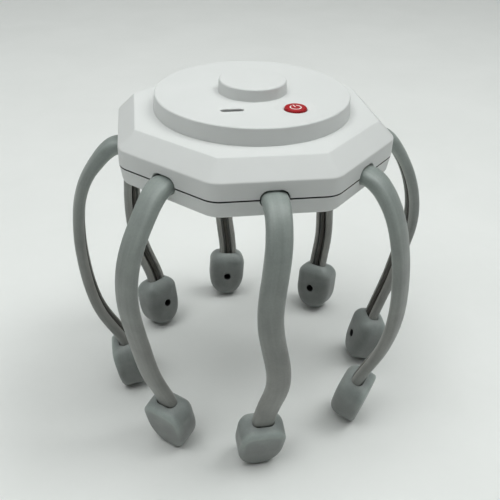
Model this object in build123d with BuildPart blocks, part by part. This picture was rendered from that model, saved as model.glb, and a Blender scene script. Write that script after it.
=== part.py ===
import math
import os

from build123d import *

# Electric scalp massager: an eight-sided housing on eight bendable legs.
# Frame: origin on the floor under the housing's axis, +Z up, millimetres.
# Leg k leaves the middle of one side; leg 1 points along -Y and the others
# follow counter-clockwise every 45 degrees.

# ---------------------------------------------------------------- dimensions
SEAM_Z = 141.5  # joint plane of the two housing halves
SEAM_GAP = 0.4  # shadow gap at the joint plane
FLAT_R = 60.0  # middle of a side, from the axis
BAND_TOP = 149.4  # top of the upright side band
TOP_Z = 156.75  # flat top of the upper shell
TOP_FLAT_R = 52.4
CORNER_R = 10.0  # upright corners of the side band
BOTTOM_Z = 133.6  # underside of the lower shell
BOTTOM_FLAT_R = 58.8
WALL = 2.2
FLOOR_Z = BOTTOM_Z + WALL

COVER_R = 43.4  # round control cover
COVER_DRAFT = 0.5
COVER_Z = 164.25
KNOB_R = 15.1  # grip boss on the cover
KNOB_Z = 169.65
SPIGOT_R = 40.6  # ring of the cover that drops into the upper shell
SPIGOT_Z = 152.9
SHELL_HOLE_R = 40.9

BUTTON_X, BUTTON_Y = 14.7, -22.9
BUTTON_R = 4.7
BUTTON_HOLE_R = 4.95
BUTTON_TOP = 164.6
DISH_R, DISH_DEPTH = 8.6, 0.37
SYMBOL_R = 2.3  # middle of the ring in the power symbol
SYMBOL_LINE = 0.54
SYMBOL_TURN = 13.0
SLOT_X, SLOT_Y = -12.1, -23.0
SLOT_L, SLOT_W = 9.7, 2.8

BOARD_R, BOARD_Z, BOARD_T = 36.0, 153.6, 1.6
BOARD_TOP = BOARD_Z + BOARD_T
BOARD_POST_R = 31.0
BOARD_POST_ANGLES = (-22.5, 112.5, -157.5)

LEG_W, LEG_T, LEG_R = 10.6, 5.7, 2.5  # sleeve: across, through, corner radius
GROOVE_W, GROOVE_D = 4.8, 2.3  # groove along the sleeve's inner side
CORE_D, CORE_OFF = 1.8, 1.35  # core wire, offset outwards from the middle
LEAD_D, LEAD_OFF = 2.1, -1.75  # motor lead, offset inwards
ANCHOR_Z = SEAM_Z - 3.1  # foot of the anchor blocks
HINGE_R = 60.0  # bend line of a leg at the wall
SEAT_R = LEG_T / 2 + 0.3
OPEN_W, OPEN_H, OPEN_R = 11.9, 8.0, 3.7  # wall opening round a leg
SOCKET_IN = 7.2  # how far a sleeve enters its pad

PAD_W, PAD_L, PAD_T = 22.1, 28.4, 15.5
PAD_STRAIGHT = 13.0  # straight part of the pad's sides
PAD_CORNER_R = 6.3
PAD_INNER_R, PAD_OUTER_R = 5.4, 2.5  # edges of the face towards the head and of the other
PAD_FULL = 2.25  # how full the rounded end is; 2 would be an ellipse
PAD_HOLE_R = 2.1
MOTOR_DEPTH = 13.6  # motor and hole centre below the pad's top
MOTOR_R, MOTOR_T = 5.0, 3.0

POST_R = 54.0  # case screws
POST_ANGLE = 22.5
BATTERY = (52.0, 34.0, 7.5)
PAD_FOAM = (48.0, 30.0, 0.6)

LEG_ANGLE = {1: -90, 2: -45, 3: 0, 4: 45, 5: 90, 6: 135, 7: 180, 8: -135}

# Centreline of each leg as the nine control points of a clamped cubic curve,
# in the leg's own frame: out from the axis, sideways, height.
LEG_CTRL = {
    1: [
        (60, 0, 141.5), (67.5, 0, 141.5), (76.9, -0.3, 131.05),
        (82, -3.7, 114.2), (82.5, -4.8, 95.4), (82.6, 0.8, 74.5),
        (78.88, 2, 56.6), (73.5, -1.59, 42.19), (70.2, -2.55, 28.89),
    ],
    2: [
        (60, 0, 141.5), (64.5, 0, 141.5), (73.6, -1.1, 133.95),
        (80.7, -2.2, 118.1), (84.4, -1.7, 95.5), (84.2, 0.5, 71.2),
        (78.4, 1.1, 48.7), (71.22, 1.41, 34.67), (69.81, 1.89, 28.84),
    ],
    3: [
        (60, 0, 141.5), (65.5, 0, 141.5), (73.7, -1.5, 132.05),
        (82.5, -2.2, 114.5), (86.6, -1.4, 92.7), (83.7, 2.2, 72.3),
        (80.1, 1.2, 51.9), (74.52, 0.22, 37.13), (72.7, 0.08, 28.93),
    ],
    4: [
        (60, 0, 141.5), (66.6, 0, 141.5), (73.6, 0.7, 134.75),
        (79.9, 2, 118.2), (83.2, 2.9, 95.2), (82.8, 2.4, 70.3),
        (81.3, -1, 48.7), (77.76, -0.09, 34.82), (76.76, -0.39, 28.92),
    ],
    5: [
        (60, 0, 141.5), (66.1, 0, 141.5), (73.2, 0, 134.55),
        (80, 0.7, 118), (84, 2.2, 95.3), (83.6, 3.5, 70.8),
        (79.8, 2.7, 49.6), (75.83, 0.22, 35.2), (75.16, 0.66, 28.8),
    ],
    6: [
        (60, 0, 141.5), (65.1, 0, 141.5), (72.1, -0.6, 134.75),
        (79, -1.6, 118.2), (83.7, -1.7, 95.2), (83.9, -0.2, 70.3),
        (78.6, 0.5, 48.7), (70.45, -1.83, 34.73), (69.23, -1.56, 28.93),
    ],
    7: [
        (60, 0, 141.5), (64.2, 0, 141.5), (71, -1.6, 133.25),
        (80.3, -4.1, 118.9), (84.1, -3.7, 95.3), (82.9, -1.8, 70.6),
        (77.6, 3.2, 47.5), (67.49, 3.6, 35.16), (66.45, 3.6, 28.92),
    ],
    8: [
        (60, 0, 141.5), (64.5, 0, 141.5), (73.5, 1.4, 133.35),
        (84, 0.4, 116.9), (86.2, 0.1, 96.1), (81, 1.2, 71.8),
        (76.9, 1.6, 48.8), (70.28, 3.71, 34.92), (68.94, 3.74, 28.93),
    ],
}
STATIONS = [0, 0.05, 0.1, 0.16, 0.23, 0.31, 0.39, 0.48, 0.57, 0.66, 0.75, 0.84, 0.92, 1.0]

# Each pad: the middle of its top, its own up direction, its outward direction.
PAD_POSE = {
    1: ((-2.55, -70.2, 28.89), (0.0700, -0.2403, 0.9682), (0.0495, -0.9685, -0.2440)),
    2: ((50.7, -48.03, 28.84), (0.1091, -0.2220, 0.9689), (0.7781, -0.5875, -0.2222)),
    3: ((72.7, 0.08, 28.93), (0.2162, 0.0167, 0.9762), (0.9758, -0.0380, -0.2155)),
    4: ((54.55, 54, 28.92), (0.0827, 0.1541, 0.9846), (0.6615, 0.7304, -0.1699)),
    5: ((-0.66, 75.16, 28.8), (0.0686, 0.1046, 0.9921), (0.0414, 0.9933, -0.1076)),
    6: ((-47.85, 50.05, 28.93), (-0.1125, 0.1789, 0.9774), (-0.6114, 0.7630, -0.2100)),
    7: ((-66.45, -3.6, 28.92), (-0.1650, 0.0000, 0.9863), (-0.9849, -0.0531, -0.1648)),
    8: ((-46.1, -51.4, 28.93), (-0.1580, -0.1510, 0.9758), (-0.6453, -0.7322, -0.2178)),
}


# ------------------------------------------------------------------ leg lines
def leg_axes(k):
    a = math.radians(LEG_ANGLE[k])
    return Vector(math.cos(a), math.sin(a), 0), Vector(-math.sin(a), math.cos(a), 0)


def leg_point(k, rtz):
    out, side = leg_axes(k)
    return out * rtz[0] + side * rtz[1] + Vector(0, 0, rtz[2])


def curve_point(ctrl, u):
    """Point of a clamped cubic B-spline by de Boor's rule."""
    n = len(ctrl)
    knots = [0.0] * 4 + [i / (n - 3) for i in range(1, n - 3)] + [1.0] * 4
    j = 3
    while j < n - 1 and u >= knots[j + 1]:
        j += 1
    d = [list(ctrl[j - 3 + i]) for i in range(4)]
    for r in range(1, 4):
        for i in range(3, r - 1, -1):
            lo = knots[j - 3 + i]
            w = (u - lo) / (knots[j + 1 + i - r] - lo)
            d[i] = [(1 - w) * a + w * b for a, b in zip(d[i - 1], d[i])]
    return d[3]


def pad_plane(k):
    top, up, out = PAD_POSE[k]
    return Plane(origin=top, x_dir=Vector(*out).cross(Vector(*up)), z_dir=Vector(*up))


def leg_plane(k, u):
    """Section plane of leg k: x across the sleeve, y away from the head."""
    ctrl = LEG_CTRL[k]
    if u == 0:
        along = leg_point(k, ctrl[1]) - leg_point(k, ctrl[0])
    elif u == 1:
        along = pad_plane(k).z_dir * -1
    else:
        along = leg_point(k, curve_point(ctrl, u + 0.004)) - leg_point(k, curve_point(ctrl, u - 0.004))
    along = along.normalized()
    w = min(max((u - 0.6) / 0.4, 0), 1)
    w = w * w * (3 - 2 * w)
    across = leg_axes(k)[1] * (1 - w) - pad_plane(k).x_dir * w
    origin = leg_point(k, curve_point(ctrl, u)) if u < 1 else pad_plane(k).origin
    return Plane(origin=origin, x_dir=across - along * across.dot(along), z_dir=along)


def save(builder, name):
    builder.part.label = name
    export_step(builder.part, f"parts/{name}.step")


os.makedirs("parts", exist_ok=True)

wall_planes = [
    Plane(origin=leg_axes(k)[0] * 54.0 + Vector(0, 0, SEAM_Z), x_dir=leg_axes(k)[1], z_dir=leg_axes(k)[0])
    for k in LEG_ANGLE
]

# ---------------------------------------------------------------- upper shell
with BuildPart() as upper_shell:
    with BuildSketch(Plane.XY.offset(SEAM_Z + SEAM_GAP / 2)) as band:
        RegularPolygon(FLAT_R, 8, major_radius=False, rotation=22.5)
        fillet(band.vertices(), CORNER_R)
    extrude(amount=BAND_TOP - SEAM_Z - SEAM_GAP / 2)
    with BuildSketch(Plane.XY.offset(BAND_TOP)) as slope_foot:
        RegularPolygon(FLAT_R, 8, major_radius=False, rotation=22.5)
        fillet(slope_foot.vertices(), CORNER_R)
    with BuildSketch(Plane.XY.offset(TOP_Z)) as slope_head:
        RegularPolygon(TOP_FLAT_R, 8, major_radius=False, rotation=22.5)
        fillet(slope_head.vertices(), 0.6)
    loft(ruled=True)
    # hollow inside, with the same wall on the slope as on the band
    with BuildSketch(Plane.XY.offset(SEAM_Z - 1)) as inner_band:
        RegularPolygon(FLAT_R - WALL, 8, major_radius=False, rotation=22.5)
        fillet(inner_band.vertices(), CORNER_R - WALL)
    extrude(amount=148.47 - SEAM_Z + 1, mode=Mode.SUBTRACT)
    with BuildSketch(Plane.XY.offset(148.47)) as inner_foot:
        RegularPolygon(FLAT_R - WALL, 8, major_radius=False, rotation=22.5)
        fillet(inner_foot.vertices(), CORNER_R - WALL)
    with BuildSketch(Plane.XY.offset(TOP_Z - WALL)) as inner_head:
        RegularPolygon(51.5, 8, major_radius=False, rotation=22.5)
        fillet(inner_head.vertices(), 0.6)
    loft(ruled=True, mode=Mode.SUBTRACT)
    # posts for the case screws
    with BuildSketch(Plane.XY.offset(SEAM_Z + SEAM_GAP / 2)):
        with PolarLocations(POST_R, 4, start_angle=POST_ANGLE):
            Circle(3.6)
    extrude(amount=TOP_Z - WALL + 0.5 - SEAM_Z - SEAM_GAP / 2)
    with BuildSketch(Plane.XY.offset(SEAM_Z)):
        with PolarLocations(POST_R, 4, start_angle=POST_ANGLE):
            Circle(1.15)
    extrude(amount=8.5, mode=Mode.SUBTRACT)
    # hole for the cover's ring
    with BuildSketch(Plane.XY.offset(TOP_Z - 5)):
        Circle(SHELL_HOLE_R)
    extrude(amount=10, mode=Mode.SUBTRACT)
    # openings round the legs
    with BuildSketch(*wall_planes):
        RectangleRounded(OPEN_W, OPEN_H, OPEN_R)
    extrude(amount=8, mode=Mode.SUBTRACT)
save(upper_shell, "upper_shell")

# ---------------------------------------------------------------- lower shell
boss_points = [(51.0, 5.2), (51.0, -5.2)]
with BuildPart() as lower_shell:
    with BuildSketch(Plane.XY.offset(BOTTOM_Z)) as foot:
        RegularPolygon(BOTTOM_FLAT_R, 8, major_radius=False, rotation=22.5)
        fillet(foot.vertices(), CORNER_R - 0.5)
    with BuildSketch(Plane.XY.offset(SEAM_Z - SEAM_GAP / 2)) as rim:
        RegularPolygon(FLAT_R - 0.1, 8, major_radius=False, rotation=22.5)
        fillet(rim.vertices(), CORNER_R)
    loft(ruled=True)
    fillet(lower_shell.faces().sort_by(Axis.Z)[0].edges(), 1.8)
    with BuildSketch(Plane.XY.offset(FLOOR_Z)) as inside:
        RegularPolygon(57.3, 8, major_radius=False, rotation=22.5)
        fillet(inside.vertices(), CORNER_R - 2.6)
    extrude(amount=10, mode=Mode.SUBTRACT)
    # tongue that stands up inside the upper shell
    with BuildSketch(Plane.XY.offset(SEAM_Z - 3)) as tongue:
        RegularPolygon(57.6, 8, major_radius=False, rotation=22.5)
        fillet(tongue.vertices(), CORNER_R - 2.4)
    extrude(amount=4.6)
    with BuildSketch(Plane.XY.offset(SEAM_Z - 3.5)) as tongue_inside:
        RegularPolygon(56.2, 8, major_radius=False, rotation=22.5)
        fillet(tongue_inside.vertices(), CORNER_R - 3.8)
    extrude(amount=10, mode=Mode.SUBTRACT)
    # posts for the case screws, with head recesses from below
    with BuildSketch(Plane.XY.offset(FLOOR_Z - 0.5)):
        with PolarLocations(POST_R, 4, start_angle=POST_ANGLE):
            Circle(3.6)
    extrude(amount=SEAM_Z - SEAM_GAP / 2 - FLOOR_Z + 0.5)
    with PolarLocations(POST_R, 4, start_angle=POST_ANGLE):
        with Locations((0, 0, BOTTOM_Z)):
            Cylinder(1.5, 12, align=(Align.CENTER, Align.CENTER, Align.MIN), mode=Mode.SUBTRACT)
            Cylinder(2.9, 2.6, align=(Align.CENTER, Align.CENTER, Align.MIN), mode=Mode.SUBTRACT)
    # bosses for the anchor blocks
    with BuildSketch(Plane.XY.offset(FLOOR_Z - 0.5)):
        with PolarLocations(0, 8):
            with Locations(*boss_points):
                Circle(2.2)
    extrude(amount=ANCHOR_Z - FLOOR_Z + 0.5)
    with BuildSketch(Plane.XY.offset(ANCHOR_Z + 0.5)):
        with PolarLocations(0, 8):
            with Locations(*boss_points):
                Circle(0.9)
    extrude(amount=-4.1, mode=Mode.SUBTRACT)
    # low frame round the cell, open where its wires leave
    with BuildSketch(Plane.XY.offset(FLOOR_Z - 0.5)):
        Rectangle(BATTERY[0] + 3.2, BATTERY[1] + 3.2)
        Rectangle(BATTERY[0] + 0.8, BATTERY[1] + 0.8, mode=Mode.SUBTRACT)
        with Locations((BATTERY[0] / 2 + 1, 0)):
            Rectangle(4, 9, mode=Mode.SUBTRACT)
    extrude(amount=3.5)
    # openings round the legs
    with BuildSketch(*wall_planes):
        RectangleRounded(OPEN_W, OPEN_H, OPEN_R)
    extrude(amount=8, mode=Mode.SUBTRACT)
save(lower_shell, "lower_shell")

# ------------------------------------------------------------------ top cover
with BuildPart() as top_cover:
    with BuildSketch(Plane.XZ) as profile:
        with BuildLine():
            Polyline(
                (0, KNOB_Z), (KNOB_R - 0.1, KNOB_Z), (KNOB_R + 0.1, COVER_Z),
                (COVER_R, COVER_Z), (COVER_R + COVER_DRAFT, TOP_Z + 0.05),
                (SPIGOT_R, TOP_Z + 0.05), (SPIGOT_R, SPIGOT_Z),
                (SPIGOT_R - WALL, SPIGOT_Z), (SPIGOT_R - WALL, COVER_Z - WALL),
                (KNOB_R - WALL, COVER_Z - WALL), (KNOB_R - WALL, KNOB_Z - WALL),
                (0, KNOB_Z - WALL), close=True,
            )
        make_face()
    revolve(axis=Axis.Z)
    rims = top_cover.edges().filter_by(GeomType.CIRCLE)
    fillet(rims.filter_by(lambda e: abs(e.radius - KNOB_R + 0.1) < 0.02 and e.center().Z > KNOB_Z - 0.01), 0.8)
    rims = top_cover.edges().filter_by(GeomType.CIRCLE)
    fillet(rims.filter_by(lambda e: abs(e.radius - COVER_R) < 0.02 and abs(e.center().Z - COVER_Z) < 0.01), 0.7)
    # snap noses that catch under the upper shell
    with BuildSketch(Plane.XY.offset(SPIGOT_Z)):
        with PolarLocations(SPIGOT_R - 0.1, 4, start_angle=45):
            Rectangle(2.2, 8)
    extrude(amount=TOP_Z - WALL - 0.15 - SPIGOT_Z)
    # collar that guides the button, and posts for the board
    with BuildSketch(Plane.XY.offset(COVER_Z - WALL + 0.3)):
        with Locations((BUTTON_X, BUTTON_Y)):
            Circle(7.9)
            Circle(6.5, mode=Mode.SUBTRACT)
    extrude(amount=-3.4)
    for angle in BOARD_POST_ANGLES:
        a = math.radians(angle)
        with Locations((BOARD_POST_R * math.cos(a), BOARD_POST_R * math.sin(a), BOARD_TOP)):
            Cylinder(3.0, COVER_Z - WALL + 0.3 - BOARD_TOP, align=(Align.CENTER, Align.CENTER, Align.MIN))
            Cylinder(0.9, 5.2, align=(Align.CENTER, Align.CENTER, Align.MIN), mode=Mode.SUBTRACT)
    # shallow dish and hole for the button
    with Locations((BUTTON_X, BUTTON_Y, COVER_Z - DISH_DEPTH)):
        Cone(BUTTON_HOLE_R + 0.3, DISH_R, DISH_DEPTH, align=(Align.CENTER, Align.CENTER, Align.MIN), mode=Mode.SUBTRACT)
        Cylinder(BUTTON_HOLE_R, 12, mode=Mode.SUBTRACT)
    # slot over the charging socket, thinned from below
    with BuildSketch(Plane.XY.offset(COVER_Z + 1)):
        with Locations((SLOT_X, SLOT_Y)):
            SlotOverall(SLOT_L, SLOT_W)
    extrude(amount=-6, mode=Mode.SUBTRACT)
    with BuildSketch(Plane.XY.offset(COVER_Z - WALL - 0.5)):
        with Locations((SLOT_X, SLOT_Y)):
            RectangleRounded(10.8, 4.8, 1.5)
    extrude(amount=0.5 + WALL - 1.0, mode=Mode.SUBTRACT)
save(top_cover, "top_cover")

# --------------------------------------------------------------- power button
with BuildPart() as power_button:
    with BuildSketch(Plane.XY.offset(161.2)):
        with Locations((BUTTON_X, BUTTON_Y)):
            Circle(BUTTON_R)
    extrude(amount=BUTTON_TOP - 161.2)
    fillet(power_button.faces().sort_by(Axis.Z)[-1].edges(), 0.45)
    with BuildSketch(Plane.XY.offset(160.8)):
        with Locations((BUTTON_X, BUTTON_Y)):
            Circle(6.2)
    extrude(amount=1.0)
    with BuildSketch(Plane.XY.offset(159.95)):
        with Locations((BUTTON_X, BUTTON_Y)):
            Circle(1.7)
    extrude(amount=1.4)
    # recess for the inlaid symbol
    with BuildSketch(Plane.XY.offset(BUTTON_TOP - 0.25)):
        with Locations(Location((BUTTON_X, BUTTON_Y, 0), (0, 0, SYMBOL_TURN))):
            Circle(SYMBOL_R + SYMBOL_LINE / 2)
            Circle(SYMBOL_R - SYMBOL_LINE / 2, mode=Mode.SUBTRACT)
            Polygon((0, 0), (-2.4, 4), (2.4, 4), align=None, mode=Mode.SUBTRACT)
            with Locations((0, 1.55)):
                Rectangle(SYMBOL_LINE, 2.75)
    extrude(amount=1, mode=Mode.SUBTRACT)
save(power_button, "power_button")

with BuildPart() as button_symbol:
    with BuildSketch(Plane.XY.offset(BUTTON_TOP - 0.25)):
        with Locations(Location((BUTTON_X, BUTTON_Y, 0), (0, 0, SYMBOL_TURN))):
            Circle(SYMBOL_R + SYMBOL_LINE / 2)
            Circle(SYMBOL_R - SYMBOL_LINE / 2, mode=Mode.SUBTRACT)
            Polygon((0, 0), (-2.4, 4), (2.4, 4), align=None, mode=Mode.SUBTRACT)
            with Locations((0, 1.55)):
                Rectangle(SYMBOL_LINE, 2.75)
    extrude(amount=0.28)
save(button_symbol, "button_symbol")

# ------------------------------------------------------- switch and its board
with BuildPart() as switch_plunger:
    with BuildSketch(Plane.XY.offset(157.6)):
        with Locations((BUTTON_X, BUTTON_Y)):
            Circle(1.6)
    extrude(amount=2.3)
save(switch_plunger, "switch_plunger")

with BuildPart() as tact_switch:
    with BuildSketch(Plane.XY.offset(BOARD_TOP)):
        with Locations((BUTTON_X, BUTTON_Y)):
            RectangleRounded(6.2, 6.2, 0.5)
    extrude(amount=3.6)
    with BuildSketch(Plane.XY.offset(156.6)):
        with Locations((BUTTON_X, BUTTON_Y)):
            Circle(1.85)
    extrude(amount=5, mode=Mode.SUBTRACT)
save(tact_switch, "tact_switch")

with BuildPart() as usb_c_socket:
    with BuildSketch(Plane.XY.offset(BOARD_TOP)):
        with Locations((SLOT_X, SLOT_Y)):
            SlotOverall(8.94, 3.16)
    extrude(amount=163.05 - BOARD_TOP)
    with BuildSketch(Plane.XY.offset(163.05)):
        with Locations((SLOT_X, SLOT_Y)):
            SlotOverall(8.34, 2.56)
            Rectangle(6.7, 0.7, mode=Mode.SUBTRACT)
    extrude(amount=-6.35, mode=Mode.SUBTRACT)
save(usb_c_socket, "usb_c_socket")

with BuildPart() as main_board:
    with BuildSketch(Plane.XY.offset(BOARD_Z)):
        Circle(BOARD_R)
        for angle in BOARD_POST_ANGLES:
            a = math.radians(angle)
            with Locations((BOARD_POST_R * math.cos(a), BOARD_POST_R * math.sin(a))):
                Circle(1.1, mode=Mode.SUBTRACT)
    extrude(amount=BOARD_T)
save(main_board, "main_board")

with BuildPart() as board_parts:
    # above the board: controller, driver, indicator resistor row
    with BuildSketch(Plane.XY.offset(BOARD_TOP)):
        with Locations((0, 6)):
            Rectangle(7, 7)
        with Locations((12, 10), (-12, 10)):
            Rectangle(5, 4)
        with Locations((-4, -8), (0, -8), (4, -8)):
            Rectangle(1.6, 3)
    extrude(amount=1.0)
    # below: inductor, capacitor and the cell's connector
    with BuildSketch(Plane.XY.offset(BOARD_Z)):
        with Locations((-14, 4)):
            Circle(3.0)
        with Locations((-14, -6)):
            RectangleRounded(6, 6, 1)
    extrude(amount=-3.6)
    with BuildSketch(Plane.XY.offset(BOARD_Z)):
        with Locations((20, 0)):
            Rectangle(6, 8)
    extrude(amount=-5)
save(board_parts, "board_parts")

with BuildPart() as board_screws:
    for angle in BOARD_POST_ANGLES:
        a = math.radians(angle)
        with Locations((BOARD_POST_R * math.cos(a), BOARD_POST_R * math.sin(a), BOARD_Z)):
            Cylinder(1.9, 1.4, align=(Align.CENTER, Align.CENTER, Align.MAX))
            Cylinder(0.9, 6.4, align=(Align.CENTER, Align.CENTER, Align.MIN))
            with Locations((0, 0, -1.4)):
                Box(2.4, 0.5, 0.8, align=(Align.CENTER, Align.CENTER, Align.CENTER), mode=Mode.SUBTRACT)
                Box(0.5, 2.4, 0.8, align=(Align.CENTER, Align.CENTER, Align.CENTER), mode=Mode.SUBTRACT)
save(board_screws, "board_screws")

# ------------------------------------------------------------------- the cell
with BuildPart() as battery_pad:
    with BuildSketch(Plane.XY.offset(FLOOR_Z)):
        RectangleRounded(PAD_FOAM[0], PAD_FOAM[1], 2)
    extrude(amount=PAD_FOAM[2])
save(battery_pad, "battery_pad")

with BuildPart() as battery_cell:
    with BuildSketch(Plane.XY.offset(FLOOR_Z + PAD_FOAM[2])):
        RectangleRounded(BATTERY[0], BATTERY[1], 2)
    extrude(amount=BATTERY[2])
    fillet(battery_cell.faces().sort_by(Axis.Z)[0].edges(), 1.2)
    fillet(battery_cell.faces().sort_by(Axis.Z)[-1].edges(), 1.2)
save(battery_cell, "battery_cell")

with BuildPart() as battery_lead:
    for side in (-1.6, 1.6):
        with BuildLine() as wire_path:
            FilletPolyline(
                (BATTERY[0] / 2, side, 141), (28, side, 141), (28, side, 151.3), (23, side, 151.3), radius=1.7
            )
        with BuildSketch(Plane(origin=(BATTERY[0] / 2, side, 141), z_dir=(1, 0, 0))):
            Circle(0.6)
        sweep(path=wire_path.line)
save(battery_lead, "battery_lead")

# --------------------------------------------------- anchors inside the walls
CORE_Z = SEAM_Z + CORE_OFF
LEAD_Z = SEAM_Z + LEAD_OFF
with BuildPart() as leg_anchors:
    with BuildSketch(Plane.XY.offset(ANCHOR_Z)):
        with PolarLocations(0, 8):
            Polygon(
                (46, -7.5), (55.6, -7.5), (55.6, -4.9), (57.3, -4.9),
                (57.3, 4.9), (55.6, 4.9), (55.6, 7.5), (46, 7.5), align=None,
            )
    extrude(amount=7.6)
    # round seat behind each leg's root
    with PolarLocations(0, 8):
        with Locations(Location((HINGE_R, 0, SEAM_Z), (90, 0, 0))):
            Cylinder(SEAT_R, 20, mode=Mode.SUBTRACT)
    # hole for the core wire, channel for the lead
    with PolarLocations(0, 8):
        with Locations(Location((44, 0, CORE_Z), (0, 90, 0))):
            Cylinder(CORE_D / 2, 16, align=(Align.CENTER, Align.CENTER, Align.MIN), mode=Mode.SUBTRACT)
        with Locations((52, 0, ANCHOR_Z - 1)):
            Box(16, 2.8, 3.6, align=(Align.CENTER, Align.CENTER, Align.MIN), mode=Mode.SUBTRACT)
    # screw holes
    with BuildSketch(Plane.XY.offset(ANCHOR_Z + 7.6)):
        with PolarLocations(0, 8):
            with Locations(*boss_points):
                Circle(1.1)
    extrude(amount=-8, mode=Mode.SUBTRACT)
    with BuildSketch(Plane.XY.offset(ANCHOR_Z + 7.6)):
        with PolarLocations(0, 8):
            with Locations(*boss_points):
                Circle(2.1)
    extrude(amount=-1.8, mode=Mode.SUBTRACT)
save(leg_anchors, "leg_anchors")

with BuildPart() as anchor_screws:
    with BuildSketch(Plane.XY.offset(ANCHOR_Z + 5.8)):
        with PolarLocations(0, 8):
            with Locations(*boss_points):
                Circle(1.9)
                Rectangle(2.2, 0.5, mode=Mode.SUBTRACT)
    extrude(amount=1.4)
    with BuildSketch(Plane.XY.offset(ANCHOR_Z + 5.8)):
        with PolarLocations(0, 8):
            with Locations(*boss_points):
                Circle(1.9)
    extrude(amount=0.7)
    with BuildSketch(Plane.XY.offset(ANCHOR_Z + 5.8)):
        with PolarLocations(0, 8):
            with Locations(*boss_points):
                Circle(0.9)
    extrude(amount=-9.2)
save(anchor_screws, "anchor_screws")

with BuildPart() as core_tails:
    with PolarLocations(0, 8):
        with Locations(Location((46.5, 0, CORE_Z), (0, 90, 0))):
            Cylinder(CORE_D / 2, 9.6, align=(Align.CENTER, Align.CENTER, Align.MIN))
save(core_tails, "core_tails")

with BuildPart() as lead_tails:
    for k in LEG_ANGLE:
        out, side = leg_axes(k)
        route = [(56.3, LEAD_Z), (42.6, LEAD_Z), (40.4, 146.2), (38.2, 151.3), (34.3, 151.3)]
        with BuildLine() as tail_path:
            FilletPolyline(*[out * r + Vector(0, 0, z) for r, z in route], radius=2.0)
        with BuildSketch(Plane(origin=out * 56.3 + Vector(0, 0, LEAD_Z), x_dir=side, z_dir=out * -1)):
            Circle(0.85)
        sweep(path=tail_path.line)
save(lead_tails, "lead_tails")

with BuildPart() as motor_plugs:
    with BuildSketch(Plane.XY.offset(BOARD_Z)):
        with PolarLocations(32.0, 8):
            Rectangle(4.6, 6)
    extrude(amount=-4)
save(motor_plugs, "motor_plugs")

with BuildPart() as case_screws:
    with PolarLocations(POST_R, 4, start_angle=POST_ANGLE):
        with Locations((0, 0, BOTTOM_Z + 2.6)):
            Cylinder(2.6, 1.9, align=(Align.CENTER, Align.CENTER, Align.MAX))
            Cylinder(1.15, 12.6, align=(Align.CENTER, Align.CENTER, Align.MIN))
        with Locations((0, 0, BOTTOM_Z + 0.7)):
            Box(3.2, 0.6, 1.6, mode=Mode.SUBTRACT)
            Box(0.6, 3.2, 1.6, mode=Mode.SUBTRACT)
save(case_screws, "case_screws")

# ------------------------------------------------------------------ pad forms
with BuildPart() as pad_form:
    w, c, s = PAD_W / 2, PAD_CORNER_R, PAD_STRAIGHT
    end_points = []
    for j in range(1, 10):
        a = math.pi * j / 10
        x = -w * math.copysign(abs(math.cos(a)) ** (2 / PAD_FULL), math.cos(a))
        end_points.append((x, -s - (PAD_L - s) * math.sin(a) ** (2 / PAD_FULL)))
    with BuildSketch(Plane.XZ) as outline:
        with BuildLine():
            Line((-w, -s), (-w, -c))
            RadiusArc((-w, -c), (-w + c, 0), c)
            Line((-w + c, 0), (w - c, 0))
            RadiusArc((w - c, 0), (w, -c), c)
            Line((w, -c), (w, -s))
            Spline((-w, -s), *end_points, (w, -s), tangents=((0, -1), (0, 1)))
        make_face()
    extrude(amount=PAD_T / 2, both=True)
    fillet(pad_form.faces().sort_by(Axis.Y)[0].edges(), PAD_INNER_R)
    fillet(pad_form.faces().sort_by(Axis.Y)[-1].edges(), PAD_OUTER_R)
    # socket for the leg
    with BuildSketch(Plane.XY.offset(1)):
        RectangleRounded(LEG_W + 0.7, LEG_T + 0.8, 2.9)
    extrude(amount=-9, mode=Mode.SUBTRACT)
    # pocket for the motor, reached through the socket
    with BuildSketch(Plane.XZ) as pocket:
        with Locations((0, -MOTOR_DEPTH)):
            Circle(MOTOR_R + 0.2)
        with Locations((0, -MOTOR_DEPTH / 2 - 3.6)):
            Rectangle(2 * MOTOR_R + 0.4, MOTOR_DEPTH - 7.2)
    extrude(amount=MOTOR_T / 2 + 0.2, both=True, mode=Mode.SUBTRACT)
    # small round hole in the face towards the head
    with Locations(Location((0, -PAD_T / 2, -MOTOR_DEPTH), (90, 0, 0))):
        Cylinder(PAD_HOLE_R, 12.6, mode=Mode.SUBTRACT)

with BuildPart() as motor_form:
    with BuildSketch(Plane.XZ):
        with Locations((0, -MOTOR_DEPTH)):
            Circle(MOTOR_R)
    extrude(amount=MOTOR_T / 2, both=True)
    fillet(motor_form.edges(), 0.3)

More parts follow.
